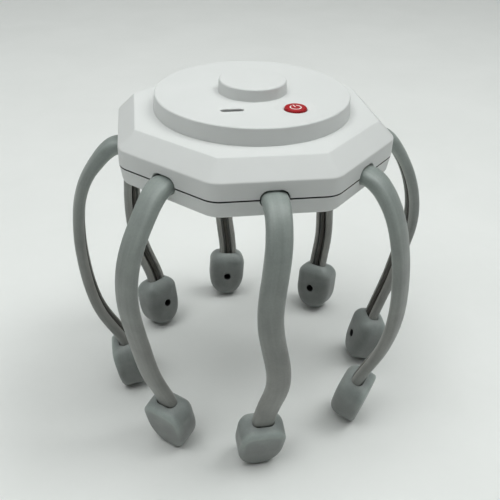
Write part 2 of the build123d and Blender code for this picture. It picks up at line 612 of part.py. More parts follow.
# ------------------------------------------------------------------- the legs
for k in LEG_ANGLE:
    out, side = leg_axes(k)
    planes = [leg_plane(k, u) for u in STATIONS]
    root = out * HINGE_R + Vector(0, 0, SEAM_Z)

    with BuildPart() as sleeve:
        # rounded root that turns in the wall opening
        with BuildSketch(Plane(origin=root, x_dir=out, z_dir=side * -1)):
            Circle(LEG_T / 2)
            with Locations((LEG_T, 0)):
                Rectangle(2 * LEG_T, 2 * LEG_T, mode=Mode.SUBTRACT)
        extrude(amount=LEG_W / 2, both=True)
        arcs = sleeve.edges().filter_by(GeomType.CIRCLE)
        fillet(arcs, LEG_R)
        with BuildSketch(Plane(origin=root, x_dir=side, z_dir=out)):
            with Locations((0, -LEG_T / 2 + GROOVE_D / 2 - 0.5)):
                Rectangle(GROOVE_W, GROOVE_D + 1)
            with Locations((0, CORE_OFF)):
                Circle(CORE_D / 2)
        extrude(amount=-5, mode=Mode.SUBTRACT)
        # grooved and bored length
        for plane in planes:
            with BuildSketch(plane):
                RectangleRounded(LEG_W, LEG_T, LEG_R)
                with Locations((0, -LEG_T / 2 + GROOVE_D / 2 - 0.5)):
                    Rectangle(GROOVE_W, GROOVE_D + 1, mode=Mode.SUBTRACT)
                with Locations((0, CORE_OFF)):
                    Circle(CORE_D / 2, mode=Mode.SUBTRACT)
        loft()
        with BuildSketch(planes[-1]):
            RectangleRounded(LEG_W, LEG_T, LEG_R)
            with Locations((0, -LEG_T / 2 + GROOVE_D / 2 - 0.5)):
                Rectangle(GROOVE_W, GROOVE_D + 1, mode=Mode.SUBTRACT)
            with Locations((0, CORE_OFF)):
                Circle(CORE_D / 2, mode=Mode.SUBTRACT)
        extrude(amount=SOCKET_IN)
    save(sleeve, f"leg_{k}_sleeve")

    for name, size, offset, tail, tip in (
        ("core", CORE_D, CORE_OFF, 1.6, SOCKET_IN),
        ("lead", LEAD_D, LEAD_OFF, 1.9, SOCKET_IN + 0.6),
    ):
        with BuildPart() as wire:
            with BuildSketch(planes[0]):
                with Locations((0, offset)):
                    Circle(size / 2)
            extrude(amount=-tail)
            for plane in planes:
                with BuildSketch(plane):
                    with Locations((0, offset)):
                        Circle(size / 2)
            loft()
            with BuildSketch(planes[-1]):
                with Locations((0, offset)):
                    Circle(size / 2)
            extrude(amount=tip)
        save(wire, f"leg_{k}_{name}")

    with BuildPart() as pad:
        with Locations(pad_plane(k).location):
            add(pad_form.part)
    save(pad, f"leg_{k}_pad")

    with BuildPart() as motor:
        with Locations(pad_plane(k).location):
            add(motor_form.part)
    save(motor, f"leg_{k}_motor")
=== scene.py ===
import math

import bmesh
import bpy
import numpy as np
from mathutils import Matrix, Vector, noise
from mathutils.geometry import tessellate_polygon


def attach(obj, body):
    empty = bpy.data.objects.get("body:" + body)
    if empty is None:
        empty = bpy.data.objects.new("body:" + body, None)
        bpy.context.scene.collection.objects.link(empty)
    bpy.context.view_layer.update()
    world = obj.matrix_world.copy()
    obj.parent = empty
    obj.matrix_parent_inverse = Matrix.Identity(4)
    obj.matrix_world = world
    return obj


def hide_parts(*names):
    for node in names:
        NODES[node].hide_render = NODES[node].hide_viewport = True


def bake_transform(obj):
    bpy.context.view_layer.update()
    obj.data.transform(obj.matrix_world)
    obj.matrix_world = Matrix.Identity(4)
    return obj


# Electric scalp massager: an eight-sided housing on eight bendable legs.
# Lengths in the shape code are millimetres; meshes are made in metres.

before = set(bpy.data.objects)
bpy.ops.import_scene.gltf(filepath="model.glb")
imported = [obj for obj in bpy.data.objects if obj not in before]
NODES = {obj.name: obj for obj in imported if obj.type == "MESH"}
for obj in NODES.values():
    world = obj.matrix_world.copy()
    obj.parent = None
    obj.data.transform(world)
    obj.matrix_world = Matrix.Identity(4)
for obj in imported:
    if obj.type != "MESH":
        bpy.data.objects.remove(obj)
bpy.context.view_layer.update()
MM = 0.001


# ------------------------------------------------------------------ the camera
def make_camera():
    place = Vector((-47.0588, -277.7572, 262.7667)) * MM
    right = Vector((0.98763281, -0.15484705, 0.02457292))
    up = Vector((0.06412569, 0.54197586, 0.83794395))
    back = right.cross(up)
    cam = bpy.data.objects.new("camera", bpy.data.cameras.new("camera"))
    bpy.context.scene.collection.objects.link(cam)
    turn = Matrix((right, up, back)).transposed().to_4x4()
    cam.matrix_world = Matrix.Translation(place) @ turn
    cam.data.sensor_width = 36.0
    cam.data.lens = 36.0 * 652.31 / 500.0
    cam.data.clip_start, cam.data.clip_end = 0.01, 50.0
    cam.data.dof.use_dof = False
    bpy.context.scene.camera = cam


make_camera()


# ------------------------------------------------------------------- materials
def add_node(tree, kind, **settings):
    n = tree.nodes.new(kind)
    for key, value in settings.items():
        setattr(n, key, value)
    return n


def math_node(tree, operation, a, b=None, c=None, clamp=False):
    n = add_node(tree, "ShaderNodeMath", operation=operation, use_clamp=clamp)
    for i, value in enumerate((a, b, c)):
        if value is None:
            continue
        if isinstance(value, (int, float)):
            n.inputs[i].default_value = value
        else:
            tree.links.new(value, n.inputs[i])
    return n.outputs[0]


def noise_node(tree, where, size_mm, per_metre, detail=2.0, rough=0.5, distortion=0.0):
    """Noise with features of about size_mm. per_metre is how many coordinate units a metre has."""
    n = add_node(tree, "ShaderNodeTexNoise")
    n.inputs["Scale"].default_value = 1.0 / (size_mm * MM * per_metre)
    n.inputs["Detail"].default_value = detail
    n.inputs["Roughness"].default_value = rough
    n.inputs["Distortion"].default_value = distortion
    tree.links.new(where, n.inputs["Vector"])
    return n.outputs["Fac"]


def mix_colour(tree, fac, a, b, blend="MIX"):
    n = add_node(tree, "ShaderNodeMix", data_type="RGBA", blend_type=blend)
    for key, value in ((0, fac), (6, a), (7, b)):
        if isinstance(value, (int, float)):
            n.inputs[key].default_value = value
        elif isinstance(value, (tuple, list)):
            n.inputs[key].default_value = tuple(value) + (1.0,) if len(value) == 3 else value
        else:
            tree.links.new(value, n.inputs[key])
    return n.outputs[2]


def surface(
    name,
    dark,
    light,
    blotch=(25.0, 0.5),
    speck=(0.8, 0.3),
    streak=None,
    rough=(0.45, 0.08, 6.0),
    bumps=((0.35, 0.006), (9.0, 0.02)),
    metallic=0.0,
    specular=0.5,
    sheen=0.0,
    sheen_rough=0.5,
    coat=0.0,
    coat_rough=0.1,
    coords="Object",
    extra=None,
):
    """A moulded or drawn surface. Colour runs from dark to light with a soft blotch, fine specks and, where asked,
    streaks along the piece; roughness wanders; the bump holds the tool texture and the slow waviness of a moulding."""
    m = bpy.data.materials.new(name)
    m.use_nodes = True
    t = m.node_tree
    shader = t.nodes["Principled BSDF"]
    if coords == "Object":
        where, per_metre = add_node(t, "ShaderNodeTexCoord").outputs["Object"], 1.0
    else:
        where, per_metre = add_node(t, "ShaderNodeAttribute", attribute_name=coords).outputs["Vector"], 1000.0
    b = noise_node(t, where, blotch[0], per_metre, 3.0, 0.55, 0.3)
    s = noise_node(t, where, speck[0], per_metre, 2.0, 0.6)
    total = math_node(t, "MULTIPLY_ADD", math_node(t, "SUBTRACT", b, 0.5), blotch[1] * 2.2, 0.5)
    total = math_node(t, "MULTIPLY_ADD", math_node(t, "SUBTRACT", s, 0.5), speck[1] * 2.0, total)
    if streak:
        squeeze = add_node(t, "ShaderNodeMapping")
        squeeze.inputs["Scale"].default_value = streak[2]
        t.links.new(where, squeeze.inputs["Vector"])
        k = noise_node(t, squeeze.outputs["Vector"], streak[0], per_metre, 2.0, 0.5)
        total = math_node(t, "MULTIPLY_ADD", math_node(t, "SUBTRACT", k, 0.5), streak[1] * 2.0, total)
    total = math_node(t, "MAXIMUM", math_node(t, "MINIMUM", total, 1.0), 0.0)
    colour = mix_colour(t, total, dark, light)
    if extra:
        colour = extra(t, where, per_metre, colour)
    t.links.new(colour, shader.inputs["Base Color"])
    r = noise_node(t, where, rough[2], per_metre, 3.0, 0.6)
    r = math_node(t, "MULTIPLY_ADD", math_node(t, "SUBTRACT", r, 0.5), rough[1] * 2.5, rough[0], clamp=True)
    t.links.new(r, shader.inputs["Roughness"])
    height = None
    for size, depth in bumps:
        h = math_node(t, "MULTIPLY", noise_node(t, where, size, per_metre, 2.0, 0.55), depth * MM)
        height = h if height is None else math_node(t, "ADD", height, h)
    if height is not None:
        bump = add_node(t, "ShaderNodeBump")
        bump.inputs["Strength"].default_value = 1.0
        bump.inputs["Distance"].default_value = 1.0
        t.links.new(height, bump.inputs["Height"])
        t.links.new(bump.outputs["Normal"], shader.inputs["Normal"])
    shader.inputs["Metallic"].default_value = metallic
    shader.inputs["Specular IOR Level"].default_value = specular
    shader.inputs["Sheen Weight"].default_value = sheen
    shader.inputs["Sheen Roughness"].default_value = sheen_rough
    shader.inputs["Coat Weight"].default_value = coat
    shader.inputs["Coat Roughness"].default_value = coat_rough
    return m


def board_traces(t, where, per_metre, colour):
    """Copper runs and round pads under the green solder mask."""
    bricks = add_node(t, "ShaderNodeTexBrick", offset=0.35, squash=0.8)
    bricks.inputs["Scale"].default_value = 1.0 / (0.006 * per_metre)
    bricks.inputs["Mortar Size"].default_value = 0.035
    bricks.inputs["Color1"].default_value = (0, 0, 0, 1)
    bricks.inputs["Color2"].default_value = (0, 0, 0, 1)
    bricks.inputs["Mortar"].default_value = (1, 1, 1, 1)
    t.links.new(where, bricks.inputs["Vector"])
    dots = add_node(t, "ShaderNodeTexVoronoi", feature="F1")
    dots.inputs["Scale"].default_value = 1.0 / (0.0035 * per_metre)
    t.links.new(where, dots.inputs["Vector"])
    dot = math_node(t, "LESS_THAN", dots.outputs["Distance"], 0.16)
    colour = mix_colour(t, math_node(t, "MULTIPLY", bricks.outputs["Color"], 0.75), colour, (0.03, 0.20, 0.07))
    return mix_colour(t, math_node(t, "MULTIPLY", dot, 0.7), colour, (0.55, 0.50, 0.36))


def seam_dust_and_shade(t, where, per_metre, colour):
    """Painted shade, with some dust, in the joint between the two halves of the housing."""
    split = add_node(t, "ShaderNodeSeparateXYZ")
    t.links.new(where, split.inputs[0])
    away = math_node(t, "ABSOLUTE", math_node(t, "SUBTRACT", split.outputs["Z"], 141.5 * MM * per_metre))
    f = math_node(t, "MULTIPLY_ADD", away, -1.0 / (0.16 * MM * per_metre), 0.46 / 0.16, clamp=True)
    # painted shade with some dust: near black up to 0.3 mm from the joint, fading out by 0.46 mm
    return mix_colour(t, f, colour, (0.022, 0.022, 0.020))


def sleeve_painted_light(t, where, per_metre, colour):
    """Painted light: cooler and lighter where the rubber leaves the housing and faces up to the light, warmer and
    darker down by the pad, and paler on the side with the groove, towards the head, as a painted fill light."""
    split = add_node(t, "ShaderNodeSeparateXYZ")
    t.links.new(where, split.inputs[0])
    # painted light from above: lighter and cooler near the housing, darker and warmer towards the pad
    f = math_node(t, "MULTIPLY", split.outputs["Y"], 1.0 / 80.0, clamp=True)
    painted_light_gradient = mix_colour(t, f, (1.09, 1.18, 1.15), (0.96, 0.93, 0.90))
    colour = mix_colour(t, 1.0, colour, painted_light_gradient, "MULTIPLY")
    # painted fill light: the groove side, towards the head, made paler
    lips = math_node(t, "MULTIPLY_ADD", split.outputs["Z"], -1.0 / 1.5, -1.2 / 1.5, clamp=True)
    return mix_colour(t, lips, colour, mix_colour(t, 1.0, colour, (1.42, 1.38, 1.37), "MULTIPLY"))


def pad_painted_light(t, where, per_metre, colour):
    """Painted light and shade: paler round the mouth and darker towards the rounded end as painted light from above, a
    painted highlight along the ridge of the outer face, a little paler on the side towards the head as painted fill
    light, and painted shade, near black, inside the small hole."""
    split = add_node(t, "ShaderNodeSeparateXYZ")
    t.links.new(where, split.inputs[0])
    # painted light from above: paler near the pad's top, darker towards its rounded end
    f = math_node(t, "MULTIPLY_ADD", split.outputs["Z"], 1.0 / 14.0, 1.0, clamp=True)
    f = math_node(t, "POWER", f, 1.5)
    painted_light_gradient = mix_colour(t, f, (0.86, 0.86, 0.845), (1.22, 1.27, 1.255))
    colour = mix_colour(t, 1.0, colour, painted_light_gradient, "MULTIPLY")
    # painted highlight along the ridge of the outer face, from the rim attribute
    rim = add_node(t, "ShaderNodeAttribute", attribute_name="rim")
    colour = mix_colour(t, rim.outputs["Fac"], colour, mix_colour(t, 1.0, colour, (1.30, 1.33, 1.32), "MULTIPLY"))
    # painted fill light: the side towards the head made paler, more so near the top
    painted_fill_light = math_node(t, "MULTIPLY", split.outputs["Y"], -1.0 / 5.0, clamp=True)
    painted_fill_light = math_node(t, "MULTIPLY", painted_fill_light, math_node(t, "MULTIPLY_ADD", f, 0.8, 0.2))
    colour = mix_colour(t, painted_fill_light, colour, mix_colour(t, 1.0, colour, (1.17, 1.16, 1.16), "MULTIPLY"))
    # painted shade: the small hole's bore turned near black
    hole = add_node(t, "ShaderNodeAttribute", attribute_name="hole")
    return mix_colour(t, hole.outputs["Fac"], colour, (0.006, 0.006, 0.006))


def make_materials():
    made = {}
    made["shell_white"] = surface(
        "shell_white", (0.690, 0.705, 0.697), (0.735, 0.748, 0.742),
        blotch=(34.0, 0.55), speck=(0.7, 0.16), rough=(0.46, 0.07, 11.0),
        bumps=((0.38, 0.0050), (1.6, 0.0040), (14.0, 0.022)), specular=0.42, extra=seam_dust_and_shade,
    )
    made["button_red"] = surface(
        "button_red", (0.34, 0.006, 0.010), (0.46, 0.010, 0.016),
        blotch=(3.0, 0.4), speck=(0.3, 0.25), rough=(0.36, 0.05, 1.5),
        bumps=((0.25, 0.0015), (2.0, 0.003)), specular=0.22, coat=0.04, coat_rough=0.22,
    )
    made["symbol_white"] = surface(
        "symbol_white", (0.82, 0.76, 0.74), (0.92, 0.89, 0.87),
        blotch=(1.0, 0.4), speck=(0.15, 0.3), rough=(0.42, 0.06, 0.6), bumps=((0.1, 0.0015),),
    )
    made["sleeve_grey"] = surface(
        "sleeve_grey", (0.185, 0.197, 0.192), (0.285, 0.300, 0.290),
        blotch=(13.0, 0.60), speck=(0.9, 0.24), streak=(1.6, 0.40, (1.0, 0.05, 1.0)),
        rough=(0.46, 0.10, 7.0), bumps=((0.28, 0.0045), (2.4, 0.012), (11.0, 0.040)),
        specular=0.60, sheen=0.15, sheen_rough=0.45, coords="grain", extra=sleeve_painted_light,
    )
    made["pad_grey"] = surface(
        "pad_grey", (0.175, 0.188, 0.184), (0.255, 0.270, 0.264),
        blotch=(7.0, 0.6), speck=(0.7, 0.28), rough=(0.48, 0.09, 4.0),
        bumps=((0.30, 0.0060), (1.8, 0.008), (7.0, 0.030)),
        specular=0.60, sheen=0.20, sheen_rough=0.4, coords="grain", extra=pad_painted_light,
    )
    made["lead_black"] = surface(
        "lead_black", (0.040, 0.038, 0.032), (0.075, 0.070, 0.058),
        blotch=(6.0, 0.5), speck=(0.5, 0.3), rough=(0.48, 0.08, 2.0), bumps=((0.2, 0.002), (3.0, 0.012)),
    )
    made["core_wire"] = surface(
        "core_wire", (0.38, 0.38, 0.37), (0.56, 0.56, 0.55), blotch=(2.0, 0.4), speck=(0.2, 0.3),
        rough=(0.38, 0.08, 1.0), bumps=((0.15, 0.0015),), metallic=1.0,
    )
    made["switch_black"] = surface(
        "switch_black", (0.012, 0.012, 0.013), (0.035, 0.035, 0.037), blotch=(2.0, 0.4), speck=(0.2, 0.3),
        rough=(0.50, 0.08, 1.0), bumps=((0.15, 0.003),),
    )
    made["socket_metal"] = surface(
        "socket_metal", (0.10, 0.10, 0.10), (0.20, 0.20, 0.20), blotch=(2.0, 0.4), speck=(0.15, 0.3),
        rough=(0.42, 0.10, 0.8), bumps=((0.12, 0.002),), metallic=1.0,
    )
    made["board_green"] = surface(
        "board_green", (0.006, 0.075, 0.028), (0.012, 0.120, 0.045), blotch=(8.0, 0.4), speck=(0.4, 0.3),
        rough=(0.34, 0.06, 2.0), bumps=((0.4, 0.003),), coat=0.3, coat_rough=0.2, extra=board_traces,
    )
    made["chip_black"] = surface(
        "chip_black", (0.010, 0.010, 0.011), (0.030, 0.030, 0.032), blotch=(1.5, 0.4), speck=(0.12, 0.4),
        rough=(0.55, 0.08, 0.6), bumps=((0.1, 0.003),),
    )
    made["screw_steel"] = surface(
        "screw_steel", (0.34, 0.34, 0.35), (0.58, 0.58, 0.59), blotch=(1.2, 0.5), speck=(0.12, 0.4),
        rough=(0.34, 0.10, 0.5), bumps=((0.1, 0.002),), metallic=1.0,
    )
    made["foam_black"] = surface(
        "foam_black", (0.008, 0.008, 0.008), (0.045, 0.045, 0.045), blotch=(1.2, 0.5), speck=(0.25, 0.6),
        rough=(0.92, 0.05, 1.0), bumps=((0.25, 0.05), (0.8, 0.05)),
    )
    made["cell_foil"] = surface(
        "cell_foil", (0.48, 0.49, 0.50), (0.66, 0.67, 0.68), blotch=(10.0, 0.5), speck=(0.6, 0.2),
        rough=(0.30, 0.08, 3.0), bumps=((1.2, 0.010), (8.0, 0.040)), metallic=0.9,
    )
    made["anchor_black"] = surface(
        "anchor_black", (0.016, 0.016, 0.017), (0.050, 0.050, 0.052), blotch=(4.0, 0.5), speck=(0.3, 0.4),
        rough=(0.58, 0.08, 2.0), bumps=((0.3, 0.006),),
    )
    made["plug_white"] = surface(
        "plug_white", (0.58, 0.56, 0.50), (0.70, 0.68, 0.62), blotch=(2.0, 0.4), speck=(0.2, 0.3),
        rough=(0.45, 0.06, 1.0), bumps=((0.2, 0.003),),
    )
    made["motor_steel"] = surface(
        "motor_steel", (0.40, 0.40, 0.40), (0.62, 0.62, 0.61), blotch=(1.5, 0.4), speck=(0.15, 0.4),
        rough=(0.30, 0.10, 0.8), bumps=((0.12, 0.0015),), metallic=1.0,
    )
    return made


MAT = make_materials()


# --------------------------------------------------------------- mesh helpers
def link_mesh(name, points, faces):
    """A mesh object from millimetre points."""
    me = bpy.data.meshes.new(name)
    me.from_pydata((np.asarray(points, float) * MM).tolist(), [], [list(map(int, f)) for f in faces])
    me.update()
    ob = bpy.data.objects.new(name, me)
    bpy.context.scene.collection.objects.link(ob)
    return ob


def tidy(ob, weld=2e-6):
    """Welds doubles, drops slivers and points every face outwards."""
    bm = bmesh.new()
    bm.from_mesh(ob.data)
    bmesh.ops.remove_doubles(bm, verts=bm.verts, dist=weld)
    bmesh.ops.dissolve_degenerate(bm, dist=1e-7, edges=bm.edges)
    loose = [v for v in bm.verts if not v.link_faces]
    bmesh.ops.delete(bm, geom=loose, context="VERTS")
    bmesh.ops.recalc_face_normals(bm, faces=bm.faces)
    bm.to_mesh(ob.data)
    bm.free()
    return ob


def smooth(ob, degrees=32.0, weighted=True):
    me = ob.data
    me.polygons.foreach_set("use_smooth", [True] * len(me.polygons))
    me.set_sharp_from_angle(angle=math.radians(degrees))
    if weighted:
        w = ob.modifiers.new("normals", "WEIGHTED_NORMAL")
        w.keep_sharp = True
        w.mode = "FACE_AREA"
        w.weight = 60
    return ob


def finish_piece(ob, material, body=None, nodes=()):
    ob.data.materials.clear()
    ob.data.materials.append(MAT[material])
    if nodes:
        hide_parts(*nodes)
    if body:
        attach(ob, body)
    return ob


def ring_faces(m, n, closed=False, first_pole=None, last_pole=None):
    """Quads between m rings of n points each, as indices; rings may close on themselves or end in a pole."""
    faces = []
    for i in range(m if closed else m - 1):
        a, b = i * n, ((i + 1) % m) * n
        for j in range(n):
            k = (j + 1) % n
            faces.append((a + j, a + k, b + k, b + j))
    if first_pole is not None:
        faces += [(first_pole, (j + 1) % n, j) for j in range(n)]
    if last_pole is not None:
        a = (m - 1) * n
        faces += [(last_pole, a + j, a + (j + 1) % n) for j in range(n)]
    return faces


def solid_of_rings(name, rings, closed=False, start=None, end=None):
    """Closed solid from rings of points. start and end are pole points."""
    rings = [np.asarray(r, float) for r in rings]
    n = len(rings[0])
    points = np.vstack(rings).tolist()
    first = last = None
    if start is not None:
        first = len(points)
        points.append(list(start))
    if end is not None:
        last = len(points)
        points.append(list(end))
    return link_mesh(name, points, ring_faces(len(rings), n, closed, first, last))


def rounded_path(path, steps=5):
    """Corners (x, y, ..., radius) of a line, each rounded with its radius, or less where two would meet. Values
    between y and the radius run along."""
    pts = [np.array(p[:-1], float) for p in path]
    n = len(pts)
    reach, spread = [0.0] * n, [0.0] * n
    for i in range(1, n - 1):
        if path[i][-1] > 0:
            ua, ub = (pts[j][:2] - pts[i][:2] for j in (i - 1, i + 1))
            cosine = float(ua @ ub / (np.linalg.norm(ua) * np.linalg.norm(ub)))
            spread[i] = math.acos(min(max(cosine, -1.0), 1.0)) / 2
            reach[i] = path[i][-1] / math.tan(spread[i])
    keep = [1.0] * n
    for i in range(n - 1):
        both, length = reach[i] + reach[i + 1], np.linalg.norm(pts[i + 1][:2] - pts[i][:2])
        if both > length * 0.99:
            keep[i], keep[i + 1] = (min(keep[j], length * 0.99 / both) for j in (i, i + 1))
    out = []
    for i, p in enumerate(pts):
        t = reach[i] * keep[i]
        if t < 1e-6:
            out.append(p)
            continue
        a, b = pts[i - 1] - p, pts[i + 1] - p
        ua, ub = a / np.linalg.norm(a[:2]), b / np.linalg.norm(b[:2])
        r = t * math.tan(spread[i])
        p0, p1 = p + ua * t, p + ub * t
        middle = (ua[:2] + ub[:2]) / np.linalg.norm(ua[:2] + ub[:2])
        c = p[:2] + middle * (r / math.sin(spread[i]))
        s0, s1 = p0[:2] - c, p1[:2] - c
        turn = math.atan2(s0[0] * s1[1] - s0[1] * s1[0], s0 @ s1)
        for k in range(steps + 1):
            f = k / steps
            w = turn * f
            q = c + np.array((s0[0] * math.cos(w) - s0[1] * math.sin(w), s0[0] * math.sin(w) + s0[1] * math.cos(w)))
            rest = (1 - f) ** 2 * p0[2:] + 2 * f * (1 - f) * p[2:] + f * f * p1[2:]
            out.append(np.concatenate((q, rest)))
    return out


def revolve(name, path, n=160, centre=(0.0, 0.0), steps=5):
    """Solid of revolution about a vertical axis from (r, z, radius) corners. Ends at r = 0 become poles; a path
    that doesn't touch the axis closes on itself."""
    line = rounded_path(path, steps)
    angles = [2 * math.pi * j / n for j in range(n)]
    circle = np.array([(math.cos(a), math.sin(a)) for a in angles])
    start = end = None
    if line[0][0] < 1e-6:
        start = (centre[0], centre[1], line[0][1])
        line = line[1:]
    if line[-1][0] < 1e-6:
        end = (centre[0], centre[1], line[-1][1])
        line = line[:-1]
    rings = [
        np.column_stack((centre[0] + circle[:, 0] * r, centre[1] + circle[:, 1] * r, np.full(n, z))) for r, z in line
    ]
    return tidy(solid_of_rings(name, rings, closed=start is None, start=start, end=end))


def cut(ob, *others, operation="DIFFERENCE"):
    """Cuts other solids from ob, or joins them to it, and removes them."""
    for o in others:
        m = ob.modifiers.new("cut", "BOOLEAN")
        m.operation, m.solver, m.object = operation, "EXACT", o
        bpy.context.view_layer.update()
        made = bpy.data.meshes.new_from_object(ob.evaluated_get(bpy.context.evaluated_depsgraph_get()))
        ob.modifiers.clear()
        old = ob.data
        ob.data = made
        bpy.data.meshes.remove(old)
        bpy.data.objects.remove(o)
    ob.data.name = ob.name
    return tidy(ob)


def joined(name, obs):
    """One object from several that don't touch each other."""
    bm = bmesh.new()
    for o in obs:
        bm.from_mesh(o.data)
        bpy.data.objects.remove(o)
    me = bpy.data.meshes.new(name)
    bm.to_mesh(me)
    bm.free()
    ob = bpy.data.objects.new(name, me)
    bpy.context.scene.collection.objects.link(ob)
    return ob


def rounded_rect(w, h, r, per=6, grow=0.0):
    """Loop of (x, y) points of a rounded rectangle, counter-clockwise."""
    w, h, r = w / 2 + grow, h / 2 + grow, r + grow
    out = []
    for cx, cy, a0 in ((w - r, h - r, 0), (-w + r, h - r, 90), (-w + r, -h + r, 180), (w - r, -h + r, 270)):
        for j in range(per + 1):
            a = math.radians(a0 + 90 * j / per)
            out.append((cx + r * math.cos(a), cy + r * math.sin(a)))
    return out


def prism(name, loop_at, levels, place):
    """Solid through loops loop_at(level) at each level, with flat n-sided ends; place maps (x, y, level) to space."""
    rings = [[place(x, y, z) for x, y in loop_at(z)] for z in levels]
    n = len(rings[0])
    points = [p for r in rings for p in r]
    faces = ring_faces(len(rings), n)
    faces += [tuple(range(n - 1, -1, -1)), tuple((len(rings) - 1) * n + j for j in range(n))]
    return tidy(link_mesh(name, points, faces))


def post(x, y, r, z0, z1, n=32, chamfer=0.0):
    if chamfer:
        path = [(0, z0, 0), (r, z0, 0), (r, z1 - chamfer, 0), (r - chamfer, z1, 0), (0, z1, 0)]
    else:
        path = [(0, z0, 0), (r, z0, 0), (r, z1, 0), (0, z1, 0)]
    return revolve("post", path, n, (x, y))


# ------------------------------------------------------------ housing outlines
SEAM_Z, FLAT_R = 141.5, 60.0
TOP_Z, COVER_Z, KNOB_Z, BOTTOM_Z = 156.75, 164.25, 169.65, 133.6
NC, NS = 9, 9
SEAM_HALF = 0.22
OPEN_W, OPEN_H, OPEN_R = 11.9, 8.0, 3.7
LEG_ANGLE = {1: -90, 2: -45, 3: 0, 4: 45, 5: 90, 6: 135, 7: 180, 8: -135}


def octagon(a, z, r):
    """Ring of an eight-sided outline with rounded corners: a is half its width across flats, r its corner radius."""
    reach = (a - r) / math.cos(math.radians(22.5))
    pts = []
    for i in range(8):
        th = math.radians(22.5 + 45 * i)
        nx = math.radians(22.5 + 45 * (i + 1))
        half = math.radians(22.5)
        for j in range(NC + 1):
            ph = th - half + 2 * half * j / NC
            pts.append((reach * math.cos(th) + r * math.cos(ph), reach * math.sin(th) + r * math.sin(ph), z))
        p = np.array(pts[-1])
        q = np.array((
            reach * math.cos(nx) + r * math.cos(nx - half), reach * math.sin(nx) + r * math.sin(nx - half), z,
        ))
        for j in range(1, NS):
            pts.append(tuple(p + (q - p) * j / NS))
    return np.array(pts)


def circle_like(ring, r, z):
    """A circle of radius r with a point on the same bearing as each point of ring."""
    a = np.arctan2(ring[:, 1], ring[:, 0])
    return np.column_stack((r * np.cos(a), r * np.sin(a), np.full(len(a), z)))


def octagon_rows(path, steps=5):
    """Rings from corners (half width, z, corner radius, rounding)."""
    return [octagon(a, z, max(r, 0.05)) for a, z, r in rounded_path(path, steps)]


def wall_cutters(shift=0.0):
    """The eight openings round the legs, with an eased lip where each meets the outside of the wall."""
    lip = 0.45
    levels = [50.5]
    grow = {50.5: 0.0}
    for j in range(7):
        psi = math.radians(76 * j / 6)
        r = FLAT_R - shift - lip + lip * math.sin(psi) + 0.03
        levels.append(r)
        grow[r] = lip * (1 - math.cos(psi))
    levels.append(62.5)
    grow[62.5] = grow[levels[-2]]
    out = []
    for k, deg in LEG_ANGLE.items():
        a = math.radians(deg)
        er, et = np.array((math.cos(a), math.sin(a), 0)), np.array((-math.sin(a), math.cos(a), 0))
        out.append(prism(
            "opening", lambda z: rounded_rect(OPEN_W, OPEN_H, OPEN_R, 8, grow[z]), levels,
            lambda x, y, z, er=er, et=et: er * z + et * x + np.array((0, 0, SEAM_Z + y)),
        ))
    return joined("openings", out)


POSTS = [(54.0 * math.cos(math.radians(22.5 + 90 * i)), 54.0 * math.sin(math.radians(22.5 + 90 * i))) for i in range(4)]


def make_upper_shell():
    outer = octagon_rows([
        (FLAT_R - 0.5, SEAM_Z + SEAM_HALF, 9.5, 0), (FLAT_R, SEAM_Z + SEAM_HALF, 10.0, 0.2), (FLAT_R, 149.4, 10.0, 1.25),
        (52.4, TOP_Z, 0.6, 1.1), (48.0, TOP_Z, 0.6, 0),
    ])[1:-1]
    # keep the long band in a few rows, so that its quads stay even
    top = outer[-1]
    hole = [circle_like(top, r, z) for r, z in rounded_path([
        (44.0, TOP_Z, 0), (40.9, TOP_Z, 0.3), (40.9, 154.55, 0.0), (45.0, 154.55, 0),
    ], 3)[1:-1]]
    inner = octagon_rows([
        (46.0, 154.55, 0.6, 0), (51.5, 154.55, 0.6, 0.3), (57.8, 148.47, 7.8, 0.4), (57.8, SEAM_Z + SEAM_HALF, 7.8, 0),
    ], 2)[1:]
    ob = tidy(solid_of_rings("shell_upper", outer + hole + inner, closed=True))
    ob = cut(ob, joined("posts", [post(x, y, 3.6, SEAM_Z + SEAM_HALF, 154.9) for x, y in POSTS]), operation="UNION")
    ob = cut(ob, joined("pilots", [post(x, y, 1.15, SEAM_Z - 1, SEAM_Z + 8.5, 24) for x, y in POSTS]))
    ob = cut(ob, wall_cutters())
    smooth(ob)
    return finish_piece(ob, "shell_white", "housing", ["upper_shell"])


